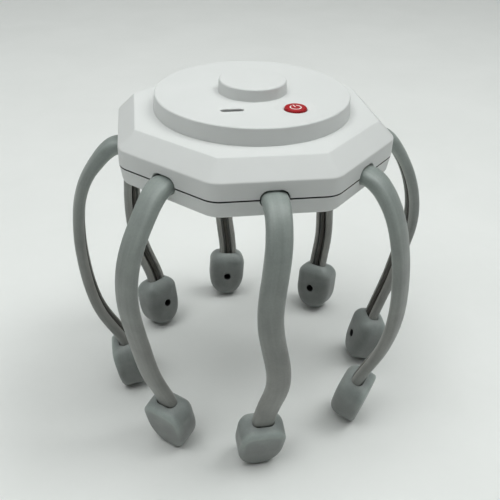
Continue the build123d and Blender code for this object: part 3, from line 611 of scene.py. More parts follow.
def make_lower_shell():
    rows = octagon_rows([
        (40.0, BOTTOM_Z, 8.0, 0), (58.8, BOTTOM_Z, 9.5, 1.8), (59.9, SEAM_Z - SEAM_HALF, 10.0, 0.2),
        (57.6, SEAM_Z - SEAM_HALF, 7.6, 0.15), (57.6, SEAM_Z + 1.6, 7.6, 0.35), (56.2, SEAM_Z + 1.6, 6.2, 0.35),
        (56.2, 138.0, 6.2, 0.2), (57.3, 138.0, 7.4, 0.2), (57.3, 135.8, 7.4, 0.7), (30.0, 135.8, 6.0, 0),
    ])
    ob = tidy(solid_of_rings("shell_lower", rows, start=(0, 0, BOTTOM_Z), end=(0, 0, 135.8)))
    bosses = []
    for deg in LEG_ANGLE.values():
        a = math.radians(deg)
        for side in (5.2, -5.2):
            bosses.append((51.0 * math.cos(a) - side * math.sin(a), 51.0 * math.sin(a) + side * math.cos(a)))
    grown = [post(x, y, 3.6, 135.3, SEAM_Z - SEAM_HALF) for x, y in POSTS]
    grown += [post(x, y, 2.2, 135.3, 138.4, 24, 0.2) for x, y in bosses]
    ob = cut(ob, joined("grown", grown), operation="UNION")
    wall = prism("cell_wall", lambda z: rounded_rect(55.2, 37.2, 1.2, 3), [135.3, 138.6, 138.8],
                 lambda x, y, z: (x, y, z))
    wall = cut(wall, prism("inside", lambda z: rounded_rect(52.8, 34.8, 0.8, 3), [134.1, 140.5],
                           lambda x, y, z: (x, y, z)))
    wall = cut(wall, prism("gap", lambda z: rounded_rect(4.0, 9.0, 0.3, 2), [134.1, 140.5],
                           lambda x, y, z: (x + 27.0, y, z)))
    ob = cut(ob, wall, operation="UNION")
    # screw recesses with an eased lip, screw holes and pilot holes
    recess = [
        revolve("recess", [(0, 132.1, 0), (3.25, 132.1, 0), (3.25, BOTTOM_Z - 0.02, 0), (3.02, BOTTOM_Z + 0.06, 0),
                           (2.9, BOTTOM_Z + 0.35, 0), (2.9, BOTTOM_Z + 2.6, 0), (1.5, BOTTOM_Z + 2.6, 0),
                           (1.5, SEAM_Z + 2, 0), (0, SEAM_Z + 2, 0)], 48, (x, y))
        for x, y in POSTS
    ]
    ob = cut(ob, joined("recesses", recess))
    ob = cut(ob, joined("pilots", [post(x, y, 0.9, 134.8, 140.3, 20) for x, y in bosses]))
    ob = cut(ob, wall_cutters(0.12))
    smooth(ob)
    return finish_piece(ob, "shell_white", "housing", ["lower_shell"])


BUTTON_AT = (14.7, -22.9)
BUTTON_Z = 164.6
SLOT_AT = (-12.1, -23.0)


def make_cover():
    ob = revolve("cover", [
        (0, KNOB_Z, 0), (9.0, KNOB_Z, 0), (15.0, KNOB_Z, 0.85), (15.2, COVER_Z, 0.3), (43.4, COVER_Z, 0.75),
        (43.9, TOP_Z + 0.05, 0.12), (40.6, TOP_Z + 0.05, 0.15), (40.6, 152.9, 0.3), (38.4, 152.9, 0.3),
        (38.4, 162.05, 0.5), (12.9, 162.05, 0.4), (12.9, 167.45, 0.5), (0, 167.45, 0),
    ], 240)
    grown = [revolve("collar", [(6.5, 159.15, 0.1), (7.9, 159.15, 0.1), (7.9, 162.35, 0), (6.5, 162.35, 0)], 64, BUTTON_AT)]
    for deg in (-22.5, 112.5, -157.5):
        x, y = 31.0 * math.cos(math.radians(deg)), 31.0 * math.sin(math.radians(deg))
        grown.append(revolve("stud", [(0, 155.2, 0), (3.0, 155.2, 0), (3.0, 162.35, 0), (0, 162.35, 0)], 40, (x, y)))
    for deg in (45, 135, 225, 315):
        a = math.radians(deg)
        er, et = np.array((math.cos(a), math.sin(a), 0)), np.array((-math.sin(a), math.cos(a), 0))
        grown.append(prism(
            "nose", lambda z: rounded_rect(2.2, 8.0, 0.3, 3), [152.9, 153.6, 154.4],
            lambda x, y, z, er=er, et=et: er * (40.5 + x * (1 if z > 153 else 0.75)) + et * y + np.array((0, 0, z)),
        ))
    ob = cut(ob, joined("grown", grown), operation="UNION")
    pilots = []
    for deg in (-22.5, 112.5, -157.5):
        x, y = 31.0 * math.cos(math.radians(deg)), 31.0 * math.sin(math.radians(deg))
        pilots.append(post(x, y, 0.9, 154.0, 160.4, 24))
    dish = revolve("dish", [
        (0, 166.0, 0), (9.1, 166.0, 0), (9.1, COVER_Z + 0.012, 0), (8.85, COVER_Z - 0.010, 0), (8.6, COVER_Z - 0.05, 0),
        (8.2, COVER_Z - 0.13, 0), (6.5, COVER_Z - 0.33, 0), (5.7, COVER_Z - 0.37, 0), (5.27, COVER_Z - 0.46, 0),
        (5.05, COVER_Z - 0.62, 0), (4.95, COVER_Z - 0.85, 0), (4.95, 158.0, 0), (0, 158.0, 0),
    ], 96, BUTTON_AT)
    lips = {COVER_Z + 1.0: 0.42, COVER_Z + 0.01: 0.42, COVER_Z - 0.03: 0.27, COVER_Z - 0.13: 0.13,
            COVER_Z - 0.28: 0.03, COVER_Z - 0.45: 0.0, 160.0: 0.0}
    slot = prism("slot", lambda z: rounded_rect(9.7, 2.8, 1.399, 12, lips[z]), list(lips),
                 lambda x, y, z: (x + SLOT_AT[0], y + SLOT_AT[1], z))
    pocket = prism("pocket", lambda z: rounded_rect(10.8, 4.8, 1.5, 5), [161.55, 163.25],
                   lambda x, y, z: (x + SLOT_AT[0], y + SLOT_AT[1], z))
    ob = cut(ob, joined("cuts", pilots + [dish, slot]))
    ob = cut(ob, pocket)
    smooth(ob, 30.0)
    return finish_piece(ob, "shell_white", "housing", ["top_cover"])


def symbol_parts():
    """Outlines of the power symbol: an open ring and a bar, both with rounded ends, about the button's middle."""
    mid, half = 2.3, 0.27
    a0, a1 = math.radians(90 + 33), math.radians(360 + 90 - 33)
    ring = []
    for j in range(49):
        a = a0 + (a1 - a0) * j / 48
        ring.append(((mid + half) * math.cos(a), (mid + half) * math.sin(a)))
    for j in range(1, 6):
        b = a1 + math.pi * j / 6
        ring.append((mid * math.cos(a1) + half * math.cos(b), mid * math.sin(a1) + half * math.sin(b)))
    for j in range(49):
        a = a1 + (a0 - a1) * j / 48
        ring.append(((mid - half) * math.cos(a), (mid - half) * math.sin(a)))
    for j in range(1, 6):
        b = a0 + math.pi + math.pi * j / 6
        ring.append((mid * math.cos(a0) + half * math.cos(b), mid * math.sin(a0) + half * math.sin(b)))
    bar = [(x, y + 1.55) for x, y in rounded_rect(0.54, 2.75, 0.269, 5)]
    turn = math.radians(13.0)
    out = []
    for loop in (ring, bar):
        out.append([
            (BUTTON_AT[0] + x * math.cos(turn) - y * math.sin(turn), BUTTON_AT[1] + x * math.sin(turn) + y * math.cos(turn))
            for x, y in loop
        ])
    return out


def make_button():
    z = BUTTON_Z
    ob = revolve("button_cap", [
        (0, z - 0.10, 0), (2.6, z - 0.07, 0), (3.9, z - 0.02, 0), (4.1, z, 0), (4.7, z, 0.45), (4.7, 161.8, 0.15),
        (6.2, 161.8, 0.15), (6.2, 160.8, 0.15), (1.7, 160.8, 0), (1.7, 159.95, 0.1), (0, 159.95, 0),
    ], 128, BUTTON_AT)
    loops = symbol_parts()
    cutters = [prism("recess", lambda q, loop=loop: loop, [z - 0.30, z + 0.5], lambda x, y, q: (x, y, q)) for loop in loops]
    ob = cut(ob, joined("recess", cutters))
    smooth(ob, 30.0)
    finish_piece(ob, "button_red", "button", ["power_button"])
    parts = [prism("inlay", lambda q, loop=loop: loop, [z - 0.29, z - 0.055], lambda x, y, q: (x, y, q)) for loop in loops]
    mark = joined("power_symbol", parts)
    bm = bmesh.new()
    bm.from_mesh(mark.data)
    rims = [e for e in bm.edges if all(v.co.z > (z - 0.06) * MM for v in e.verts) and len(e.link_faces) == 2
            and any(f.normal.z < 0.5 for f in e.link_faces)]
    bmesh.ops.bevel(bm, geom=rims, offset=0.04 * MM, segments=2, profile=0.5, affect="EDGES")
    bm.to_mesh(mark.data)
    bm.free()
    tidy(mark)
    smooth(mark, 30.0)
    return finish_piece(mark, "symbol_white", "button", ["button_symbol"])


# ---------------------------------------------------------------- the leg lines
LEG_CTRL = {
    1: [(60, 0, 141.5), (67.5, 0, 141.5), (76.9, -0.3, 131.05), (82, -3.7, 114.2), (82.5, -4.8, 95.4),
        (82.6, 0.8, 74.5), (78.88, 2, 56.6), (73.5, -1.59, 42.19), (70.2, -2.55, 28.89)],
    2: [(60, 0, 141.5), (64.5, 0, 141.5), (73.6, -1.1, 133.95), (80.7, -2.2, 118.1), (84.4, -1.7, 95.5),
        (84.2, 0.5, 71.2), (78.4, 1.1, 48.7), (71.22, 1.41, 34.67), (69.81, 1.89, 28.84)],
    3: [(60, 0, 141.5), (65.5, 0, 141.5), (73.7, -1.5, 132.05), (82.5, -2.2, 114.5), (86.6, -1.4, 92.7),
        (83.7, 2.2, 72.3), (80.1, 1.2, 51.9), (74.52, 0.22, 37.13), (72.7, 0.08, 28.93)],
    4: [(60, 0, 141.5), (66.6, 0, 141.5), (73.6, 0.7, 134.75), (79.9, 2, 118.2), (83.2, 2.9, 95.2),
        (82.8, 2.4, 70.3), (81.3, -1, 48.7), (77.76, -0.09, 34.82), (76.76, -0.39, 28.92)],
    5: [(60, 0, 141.5), (66.1, 0, 141.5), (73.2, 0, 134.55), (80, 0.7, 118), (84, 2.2, 95.3),
        (83.6, 3.5, 70.8), (79.8, 2.7, 49.6), (75.83, 0.22, 35.2), (75.16, 0.66, 28.8)],
    6: [(60, 0, 141.5), (65.1, 0, 141.5), (72.1, -0.6, 134.75), (79, -1.6, 118.2), (83.7, -1.7, 95.2),
        (83.9, -0.2, 70.3), (78.6, 0.5, 48.7), (70.45, -1.83, 34.73), (69.23, -1.56, 28.93)],
    7: [(60, 0, 141.5), (64.2, 0, 141.5), (71.0, -1.6, 133.25), (80.3, -4.1, 118.9), (84.1, -3.7, 95.3),
        (82.9, -1.8, 70.6), (77.6, 3.2, 47.5), (67.49, 3.6, 35.16), (66.45, 3.6, 28.92)],
    8: [(60, 0, 141.5), (64.5, 0, 141.5), (73.5, 1.4, 133.35), (84, 0.4, 116.9), (86.2, 0.1, 96.1),
        (81, 1.2, 71.8), (76.9, 1.6, 48.8), (70.28, 3.71, 34.92), (68.94, 3.74, 28.93)],
}
# Each pad: the middle of its top, its own up direction, its outward direction.
PAD_POSE = {
    1: ((-2.55, -70.2, 28.89), (0.0700, -0.2403, 0.9682), (0.0495, -0.9685, -0.2440)),
    2: ((50.7, -48.03, 28.84), (0.1091, -0.2220, 0.9689), (0.7781, -0.5875, -0.2222)),
    3: ((72.7, 0.08, 28.93), (0.2162, 0.0167, 0.9762), (0.9758, -0.0380, -0.2155)),
    4: ((54.55, 54, 28.92), (0.0827, 0.1541, 0.9846), (0.6615, 0.7304, -0.1699)),
    5: ((-0.66, 75.16, 28.8), (0.0686, 0.1046, 0.9921), (0.0414, 0.9933, -0.1076)),
    6: ((-47.85, 50.05, 28.93), (-0.1125, 0.1789, 0.9774), (-0.6114, 0.7630, -0.2100)),
    7: ((-66.45, -3.6, 28.92), (-0.1650, 0.0000, 0.9863), (-0.9849, -0.0531, -0.1648)),
    8: ((-46.1, -51.4, 28.93), (-0.1580, -0.1510, 0.9758), (-0.6453, -0.7322, -0.2178)),
}
SOCKET_IN = 7.2
LEG_W, LEG_T = 10.6, 5.7
ROOT_FLARE = {7: (0.12, 0.34)}  # how much thicker a sleeve is at the wall, outwards and towards the head
GROOVE_W, GROOVE_D = 4.8, 2.3
CORE_R, CORE_OFF = 0.9, 1.35
LEAD_R, LEAD_OFF = 1.1, -1.72


def ease_in(a, b, x):
    t = min(max((x - a) / (b - a), 0.0), 1.0)
    return t * t * (3 - 2 * t)


def unit(v):
    return v / np.linalg.norm(v)


def leg_axes(k):
    a = math.radians(LEG_ANGLE[k])
    return np.array((math.cos(a), math.sin(a), 0.0)), np.array((-math.sin(a), math.cos(a), 0.0))


def leg_point(k, rtz):
    er, et = leg_axes(k)
    return er * rtz[0] + et * rtz[1] + np.array((0, 0, rtz[2]))


def curve_point(ctrl, u):
    """Point of a clamped cubic B-spline by de Boor's rule."""
    n = len(ctrl)
    knots = [0.0] * 4 + [i / (n - 3) for i in range(1, n - 3)] + [1.0] * 4
    j = 3
    while j < n - 1 and u >= knots[j + 1]:
        j += 1
    d = [np.array(ctrl[j - 3 + i], float) for i in range(4)]
    for r in range(1, 4):
        for i in range(3, r - 1, -1):
            lo = knots[j - 3 + i]
            w = (u - lo) / (knots[j + 1 + i - r] - lo)
            d[i] = (1 - w) * d[i - 1] + w * d[i]
    return d[3]


def pad_axes(k):
    top, up, out = (np.array(v, float) for v in PAD_POSE[k])
    return top, unit(np.cross(out, up)), unit(np.cross(up, np.cross(out, up))), unit(up)


def leg_section(k, u):
    """(middle, across, outwards, along) of leg k at u from 0, the wall, to 1, the pad's top."""
    ctrl = LEG_CTRL[k]
    top, pad_x, pad_out, pad_up = pad_axes(k)
    if u <= 0:
        along = leg_axes(k)[0]
    elif u >= 1:
        along = -pad_up
    else:
        along = unit(leg_point(k, curve_point(ctrl, min(u + 0.004, 0.9999))) - leg_point(k, curve_point(ctrl, u - 0.004 if u > 0.004 else 0)))
        s = min(max((u - 0.965) / 0.035, 0), 1)
        along = unit(along * (1 - s) + -pad_up * s)
    w = min(max((u - 0.6) / 0.4, 0), 1)
    w = w * w * (3 - 2 * w)
    across = leg_axes(k)[1] * (1 - w) - pad_x * w
    across = unit(across - along * (across @ along))
    middle = leg_point(k, curve_point(ctrl, min(max(u, 0), 0.9999))) if u < 1 else top
    return middle, across, np.cross(along, across), along


def stations(k, step, back, ahead):
    """Sections every step millimetres along leg k, from back behind the wall to ahead inside the pad, each with its
    distance from the wall."""
    us = np.linspace(0, 1, 400)
    pts = np.array([leg_section(k, u)[0] for u in us])
    run = np.concatenate(([0], np.cumsum(np.linalg.norm(np.diff(pts, axis=0), axis=1))))
    count = max(2, int(round(run[-1] / step)))
    out = []
    m, x, y, al = leg_section(k, 0)
    for d in back:
        out.append((m - al * d, x, y, al, -d))
    for i in range(count + 1):
        u = float(np.interp(run[-1] * i / count, run, us))
        out.append((*leg_section(k, u), run[-1] * i / count))
    m, x, y, al = leg_section(k, 1)
    for d in ahead:
        out.append((m + al * d, x, y, al, run[-1] + d))
    return out, run[-1]


def sleeve_corners(grow=0.0):
    """Section of a sleeve as one closed line of points (x, y), y away from the head, drawn in by grow."""
    w, t = LEG_W / 2 - grow, LEG_T / 2 - grow
    lip, floor = GROOVE_W / 2, GROOVE_D - LEG_T / 2
    half = [(0.0, t, 0), (2.1, t - 0.16, 6.0), (w, t - 0.95, 2.3 - grow), (w, -t + 0.02, 2.4 - grow), (lip + 0.4 + grow, -t, 0.5),
            (lip + 0.05 + grow * 0.3, -t + 0.35, 0.2), (lip - 0.05 + grow * 0.2, floor, 0.7), (0.0, floor, 0)]
    right = [tuple(p) for p in rounded_path(half, 6)]
    left = [(-x, y) for x, y in right]
    return right + left[-2:0:-1]


def sleeve_loop(grow=0.0):
    """The section with its long stretches split, with the same number of points whatever grow is."""
    plain, loop, dense = sleeve_corners(), sleeve_corners(grow), []
    for i, p in enumerate(loop):
        q, a, b = loop[(i + 1) % len(loop)], plain[i], plain[(i + 1) % len(loop)]
        parts = int(math.hypot(b[0] - a[0], b[1] - a[1]) / 0.9) + 1
        dense += [(p[0] + (q[0] - p[0]) * j / parts, p[1] + (q[1] - p[1]) * j / parts) for j in range(parts)]
    return dense


def grain(ob, values):
    """Stores where each point lies on the piece, in millimetres, so that its texture stays put when it bends."""
    at = ob.data.attributes.new("grain", "FLOAT_VECTOR", "POINT")
    at.data.foreach_set("vector", np.asarray(values, np.float32).ravel())


def swept_tube(name, k, radius, offset, step, back, ahead, n=20, ripple=0.0):
    """A round wire that runs with leg k, offset from its middle, with flat ends."""
    line, total = stations(k, step, back, ahead)
    rings, marks = [], []
    for i, (m, x, y, al, s) in enumerate(line):
        r = radius
        c = m + y * offset
        if ripple:
            c = c + y * ripple * noise.noise(Vector((s * 0.11, k * 7.3, 0.0))) + x * ripple * 1.6 * noise.noise(Vector((s * 0.09, k * 3.1, 5.0)))
        rings.append([c + (x * math.cos(a) + y * math.sin(a)) * r for a in (2 * math.pi * j / n for j in range(n))])
        marks += [(k * 40.0 + radius * math.cos(2 * math.pi * j / n), s, radius * math.sin(2 * math.pi * j / n)) for j in range(n)]
    start, end = line[0][0] + line[0][2] * offset, line[-1][0] + line[-1][2] * offset
    ob = solid_of_rings(name, rings, start=start, end=end)
    grain(ob, marks + [(k * 40.0, line[0][4], 0), (k * 40.0, line[-1][4], 0)])
    bm = bmesh.new()
    bm.from_mesh(ob.data)
    bmesh.ops.recalc_face_normals(bm, faces=bm.faces)
    bm.to_mesh(ob.data)
    bm.free()
    return ob


def make_sleeve(k):
    base = sleeve_loop()
    n = len(base)
    bore_n = 20
    # eased ends: the section draws in a little over the last part of each end
    line, total = stations(k, 1.25, (2.2, 2.05, 1.75, 1.2, 0.6), (0.7, 2.0, 4.0, 5.6, 6.4, 6.9, SOCKET_IN))
    rings, bores, marks, bore_marks = [], [], [], []
    first, last = line[0][4], line[-1][4]
    flare = ROOT_FLARE.get(k, (0.19, 0.19))
    for m, x, y, al, s in line:
        ease = 0.0
        for end in (first, last):
            d = abs(s - end)
            if d < 0.9:
                ease = max(ease, 0.9 - math.sqrt(max(0.0, 0.81 - (0.9 - d) ** 2)))
        loop = sleeve_loop(ease * 0.8) if ease > 1e-6 else base
        ring = []
        full = 1.0 + 0.035 * (1.0 - ease_in(1.0, 11.0, s))
        near = 1.0 - ease_in(3.0, 24.0, s)
        inside = 1.0 if 1.5 < s < total - 0.5 else 0.0
        for px, py in loop:
            if py > 0.0:
                py = py * (1.0 + flare[0] * near)
            elif py < -1.2:
                py = py * (1.0 + flare[1] * near)
            p = m + x * px * full + y * py
            soft = 0.075 * inside * noise.noise(Vector(p * 0.085) + Vector((k * 11.0, 0, 0)))
            soft += 0.03 * inside * noise.noise(Vector(p * 0.35) + Vector((0, k * 5.0, 0)))
            out = x * px + y * py
            ring.append(p + unit(out) * soft if np.linalg.norm(out) > 0.5 else p)
            marks.append((k * 40.0 + px, s, py))
        rings.append(ring)
        for j in range(bore_n):
            a = 2 * math.pi * j / bore_n
            bores.append(m + x * math.cos(a) * CORE_R + y * (CORE_OFF + math.sin(a) * CORE_R))
            bore_marks.append((k * 40.0 + math.cos(a), s, CORE_OFF + math.sin(a)))
    rows = len(rings)
    points = [p for r in rings for p in r] + bores
    faces = ring_faces(rows, n)
    off = rows * n
    faces += [tuple(off + v for v in reversed(f)) for f in ring_faces(rows, bore_n)]
    for row, flip in ((0, True), (rows - 1, False)):
        outer = list(range(row * n, row * n + n))
        hole = list(range(off + row * bore_n, off + (row + 1) * bore_n))
        m, x, y, al, s = line[row]
        flat = [[Vector(((points[i] - m) @ x, (points[i] - m) @ y, 0)) for i in group] for group in (outer, hole)]
        order = outer + hole
        for tri in tessellate_polygon(flat):
            f = tuple(order[i] for i in tri)
            faces.append(f if flip else tuple(reversed(f)))
    ob = link_mesh(f"leg_{k}_rubber", points, faces)
    grain(ob, marks + bore_marks)
    bm = bmesh.new()
    bm.from_mesh(ob.data)
    bmesh.ops.recalc_face_normals(bm, faces=bm.faces)
    bm.to_mesh(ob.data)
    bm.free()
    smooth(ob, 38.0)
    return ob


# ---------------------------------------------------------------------- pads
PAD_W, PAD_L, PAD_T, PAD_S, PAD_C = 22.1, 28.4, 15.5, 13.0, 6.3
PAD_FULL = 2.25  # how full the rounded end is; 2 would be an ellipse
HOLE_R = 2.1
MOTOR_AT = -13.6


def shield():
    """A pad's outline as (x, z) points, counter-clockwise, with inward normals."""
    w, c, s = PAD_W / 2, PAD_C, PAD_S
    pts = []
    for j in range(5):
        pts.append((w, -s + (s - c) * j / 5))
    for j in range(9):
        a = math.radians(90 * j / 9)
        pts.append((w - c + c * math.cos(a), -c + c * math.sin(a)))
    for j in range(12):
        x = (w - c) * (1 - 2 * j / 12)
        pts.append((x, 0.22 * (1 - (x / (w - c)) ** 2) ** 2))
    for j in range(9):
        a = math.radians(90 + 90 * j / 9)
        pts.append((-w + c + c * math.cos(a), -c + c * math.sin(a)))
    for j in range(5):
        pts.append((-w, -c - (s - c) * j / 5))
    for j in range(40):
        a = math.pi + math.pi * j / 40
        c, n = math.cos(a), math.sin(a)
        pts.append((w * math.copysign(abs(c) ** (2 / PAD_FULL), c), -s - (PAD_L - s) * abs(n) ** (2 / PAD_FULL)))
    pts = np.array(pts)
    nxt, prv = np.roll(pts, -1, axis=0), np.roll(pts, 1, axis=0)
    tan = nxt - prv
    tan /= np.linalg.norm(tan, axis=1)[:, None]
    return pts, np.column_stack((-tan[:, 1], tan[:, 0]))


def make_pad_form():
    """One pad about the middle of its top: x across, y away from the head, z up."""
    pts, inward = shield()
    n = len(pts)
    half = PAD_T / 2
    z = pts[:, 1]
    low = np.array([ease_in(-9.0, -22.0, v) for v in z])
    top = np.array([ease_in(-5.5, -0.5, v) for v in z])
    r_out = 1.5 + 0.9 * low
    r_in = 5.4 + 0.1 * low - 0.5 * top
    barrel = 0.45 * (1 - low)
    crown = 0.3

    def ring(y, d):
        d = d + barrel * (y / half) ** 2
        p = pts + inward * d[:, None]
        return np.column_stack((p[:, 0], np.full(n, 1.0) * y, p[:, 1]))

    def side(sign, radius):
        rows = []
        edge = half - crown
        for f in (0.25, 0.55, 0.8):
            rows.append(ring(sign * 1.0 * (edge - radius.max()) * f, np.zeros(n)))
        for j in range(8):
            phi = math.radians(90 * j / 7)
            y = edge - radius + radius * math.sin(phi)
            d = radius * (1 - math.cos(phi)) + barrel * (y / half) ** 2
            p = pts + inward * d[:, None]
            rows.append(np.column_stack((p[:, 0], sign * y, p[:, 1])))
        return rows

    outer, inner = side(1, r_out), side(-1, r_in)
    centre = np.array((0.0, MOTOR_AT))
    face = outer[-1]
    out_rows = []
    for f in (0.86, 0.70, 0.53, 0.36, 0.2, 0.08):
        xz = centre + (face[:, [0, 2]] - centre) * f
        out_rows.append(np.column_stack((xz[:, 0], np.full(n, half - crown * f ** 2), xz[:, 1])))
    face = inner[-1]
    bearing = np.arctan2(face[:, 2] - centre[1], face[:, 0] - centre[0])
    in_rows = []
    rim = HOLE_R + 0.55
    circle = centre + rim * np.column_stack((np.cos(bearing), np.sin(bearing)))
    for f in (0.84, 0.66, 0.48, 0.30, 0.14, 0.0):
        xz = circle + (face[:, [0, 2]] - circle) * f
        in_rows.append(np.column_stack((xz[:, 0], np.full(n, crown * f ** 2 - half), xz[:, 1])))
    # eased lip of the small hole, then its bore
    for r, y in ((HOLE_R + 0.32, 0.05 - half), (HOLE_R + 0.15, 0.16 - half), (HOLE_R + 0.04, 0.34 - half), (HOLE_R, 0.6 - half),
                 (HOLE_R, -4.5), (HOLE_R, -1.2)):
        c = centre + r * np.column_stack((np.cos(bearing), np.sin(bearing)))
        in_rows.append(np.column_stack((c[:, 0], np.full(n, y), c[:, 1])))
    rows = out_rows[::-1] + outer[::-1] + [ring(0.0, np.zeros(n))] + inner + in_rows
    ob = tidy(solid_of_rings("pad_form", rows, start=(0, half, centre[1]), end=(0, -1.2, centre[1])))
    # the top swells a little towards the mouth
    for v in ob.data.vertices:
        x, y, q = v.co / MM
        if q > -6.0:
            swell = max(0.0, 1.0 - (x / 9.6) ** 2) * max(0.0, 1.0 - ((y - 0.2) / 7.0) ** 2)
            v.co.z += 1.5 * swell * ease_in(-4.0, -0.6, q) * MM
    lip = 0.4
    levels = {5.0: 0.40, 2.6: 0.40}
    for j in range(6):
        psi = math.radians(82 - 82 * j / 5)
        levels[0.75 + lip * math.sin(psi)] = lip * (1 - math.cos(psi))
    levels[-7.6] = 0.0
    levels[-8.0] = -0.35
    socket = prism("socket", lambda q: rounded_rect(LEG_W + 0.20, LEG_T + 0.25, 2.7, 8, levels[q]), list(levels),
                   lambda x, y, q: (x, y + 0.1, q))
    ob = cut(ob, socket)
    loop = []
    for j in range(25):
        a = math.pi + math.pi * j / 24
        loop.append((5.2 * math.cos(a), MOTOR_AT + 5.2 * math.sin(a)))
    loop += [(5.2, -7.7), (-5.2, -7.7)]
    pocket = prism("pocket", lambda q: loop, [-1.7, 1.7], lambda x, y, q: (x, q, y))
    ob = cut(ob, pocket)
    return ob


def pad_ridge_highlight(co):
    """How far each point of a pad lies in the soft band along the edge of its outer face, 0 to 1; the band gets a
    painted highlight.
    """
    pts, inward = shield()
    band = []
    for x, y, z in co:
        near = np.min(np.hypot(pts[:, 0] - x, pts[:, 1] - z))
        out = ease_in(PAD_T / 2 - 3.2, PAD_T / 2 - 1.2, y) * (1.0 - ease_in(1.4, 3.2, near))
        band.append(out * (0.35 + 0.65 * ease_in(-18.0, -7.0, z)))
    return band


def make_pads():
    form = make_pad_form()
    co = np.array([v.co for v in form.data.vertices], float) / MM
    # where each pad's painted ridge highlight goes
    rim = pad_ridge_highlight(co)
    # the small hole's bore, to be painted near black as shade
    hole = (np.hypot(co[:, 0], co[:, 2] - MOTOR_AT) < HOLE_R + 0.06) & (co[:, 1] > 0.25 - PAD_T / 2) & (co[:, 1] < -1.0)
    for k in LEG_ANGLE:
        top, x, out, up = pad_axes(k)
        # the pad's across runs so that across x outwards = up
        across = np.cross(out, up)
        pts = top + co[:, :1] * across + co[:, 1:2] * out + co[:, 2:3] * up
        me = form.data.copy()
        me.name = f"leg_{k}_tip"
        me.vertices.foreach_set("co", (pts * MM).astype(np.float32).ravel())
        me.update()
        ob = bpy.data.objects.new(f"leg_{k}_tip", me)
        bpy.context.scene.collection.objects.link(ob)
        at = me.attributes.new("grain", "FLOAT_VECTOR", "POINT")
        at.data.foreach_set("vector", (co + np.array((k * 40.0, 0, 0))).astype(np.float32).ravel())
        # the rim attribute carries the painted ridge highlight
        edge = me.attributes.new("rim", "FLOAT", "POINT")
        edge.data.foreach_set("value", np.asarray(rim, np.float32))
        # the hole attribute carries the painted shade in the small hole
        dark = me.attributes.new("hole", "FLOAT", "POINT")
        dark.data.foreach_set("value", hole.astype(np.float32))
        smooth(ob, 34.0)
        finish_piece(ob, "pad_grey", f"leg_{k}", [f"leg_{k}_pad"])
    bpy.data.objects.remove(form)


def make_legs():
    for k in LEG_ANGLE:
        rubber = make_sleeve(k)
        finish_piece(rubber, "sleeve_grey", None, [f"leg_{k}_sleeve"])
        core = swept_tube(f"leg_{k}_wire", k, CORE_R - 0.02, CORE_OFF, 2.5, (2.2, 2.1, 1.2), (3.0, 7.0, 7.15), 16)
        smooth(core, 60.0, False)
        finish_piece(core, "core_wire", None, [f"leg_{k}_core"])
        cable = swept_tube(f"leg_{k}_cable", k, LEAD_R, LEAD_OFF, 1.6, (1.9, 1.2), (2.0, 4.0, 6.0, 7.6), 20, 0.10)
        smooth(cable, 60.0, False)
        finish_piece(cable, "lead_black", None, [f"leg_{k}_lead"])
        for piece in (rubber, core, cable):
            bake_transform(piece)


# ------------------------------------------------------- the CAD nodes that show
def dress_nodes():
    """The pieces inside keep their construction shape and get their finish."""
    finishes = {
        "usb_c_socket": "socket_metal", "tact_switch": "switch_black", "switch_plunger": "switch_black",
        "main_board": "board_green", "board_parts": "chip_black", "board_screws": "screw_steel",
        "battery_pad": "foam_black", "battery_cell": "cell_foil", "battery_lead": "lead_black",
        "leg_anchors": "anchor_black", "anchor_screws": "screw_steel", "core_tails": "core_wire",
        "lead_tails": "lead_black", "motor_plugs": "plug_white", "case_screws": "screw_steel",
    }
    for k in LEG_ANGLE:
        finishes[f"leg_{k}_motor"] = "motor_steel"
    for node, finish in finishes.items():
        ob = NODES[node]
        material = MAT[finish]
        if not ob.material_slots:
            ob.data.materials.append(material)
        for s in ob.material_slots:
            s.material = material


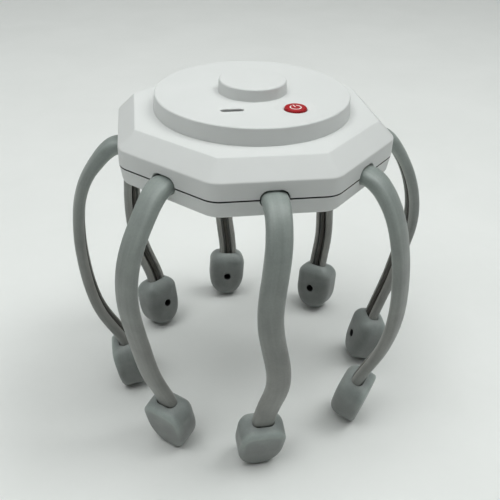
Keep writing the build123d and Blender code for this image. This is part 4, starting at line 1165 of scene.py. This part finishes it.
# ------------------------------------------------------------ floor and lights
def make_stage():
    me = bpy.data.meshes.new("floor")
    me.from_pydata([(-3, -3, 0), (3, -3, 0), (3, 3, 0), (-3, 3, 0)], [], [(0, 1, 2, 3)])
    floor = bpy.data.objects.new("floor", me)
    bpy.context.scene.collection.objects.link(floor)
    m = bpy.data.materials.new("floor_paper")
    m.use_nodes = True
    t = m.node_tree
    shader = t.nodes["Principled BSDF"]
    where = add_node(t, "ShaderNodeTexCoord").outputs["Object"]
    big = noise_node(t, where, 90.0, 1.0, 3.0, 0.55, 0.4)
    fine = noise_node(t, where, 6.0, 1.0, 3.0, 0.6)
    total = math_node(t, "MULTIPLY_ADD", math_node(t, "SUBTRACT", big, 0.5), 1.2, 0.5)
    total = math_node(t, "MULTIPLY_ADD", math_node(t, "SUBTRACT", fine, 0.5), 0.3, total, clamp=True)
    t.links.new(mix_colour(t, total, (0.800, 0.815, 0.800), (0.855, 0.868, 0.855)), shader.inputs["Base Color"])
    shader.inputs["Roughness"].default_value = 0.75
    shader.inputs["Specular IOR Level"].default_value = 0.2
    me.materials.append(m)


def area_light(name, place, towards, size, power, colour=(1, 1, 1), size_y=None):
    data = bpy.data.lights.new(name, "AREA")
    data.shape = "RECTANGLE"
    data.size, data.size_y = size, size_y or size
    data.energy, data.color = power, colour
    ob = bpy.data.objects.new(name, data)
    bpy.context.scene.collection.objects.link(ob)
    ob.location = place
    ob.rotation_mode = "QUATERNION"
    ob.rotation_quaternion = (Vector(towards) - Vector(place)).to_track_quat("-Z", "Y")
    return ob


def make_lights():
    """Soft light from all round: a large panel overhead, a broad one high on the right, weaker ones about."""
    def aim(name, height, bearing, size, power, reach=2.6):
        h, a = math.radians(height), math.radians(bearing)
        to = Vector((0.0, 0.0, 0.05))
        place = to + Vector((math.cos(h) * math.cos(a), math.cos(h) * math.sin(a), math.sin(h))) * reach
        area_light(name, place, to, size, power, (0.975, 1.0, 0.985))

    aim("overhead", 90, 0, 1.1, 6.4, 1.1)
    aim("ceiling", 90, 0, 2.0, 7.5)
    aim("key_right", 58, 0, 1.2, 20.0)
    aim("fill_left", 60, 207, 1.4, 15.5)
    aim("side_right", 28, 0, 1.3, 3.4)
    aim("side_left", 28, 180, 1.3, 3.2)
    aim("back_left", 28, 135, 1.3, 4.1)
    aim("back", 28, 90, 1.3, 2.7)
    world = bpy.data.worlds.new("studio")
    world.use_nodes = True
    back = world.node_tree.nodes["Background"]
    back.inputs["Color"].default_value = (0.95, 1.0, 0.985, 1)
    back.inputs["Strength"].default_value = 0.004
    bpy.context.scene.world = world
    bpy.context.scene.view_settings.view_transform = "Standard"
    bpy.context.scene.view_settings.look = "None"


# --------------------------------------------------------------------- making
make_upper_shell()
make_lower_shell()
make_cover()
make_button()
make_legs()
make_pads()
dress_nodes()
make_stage()
make_lights()
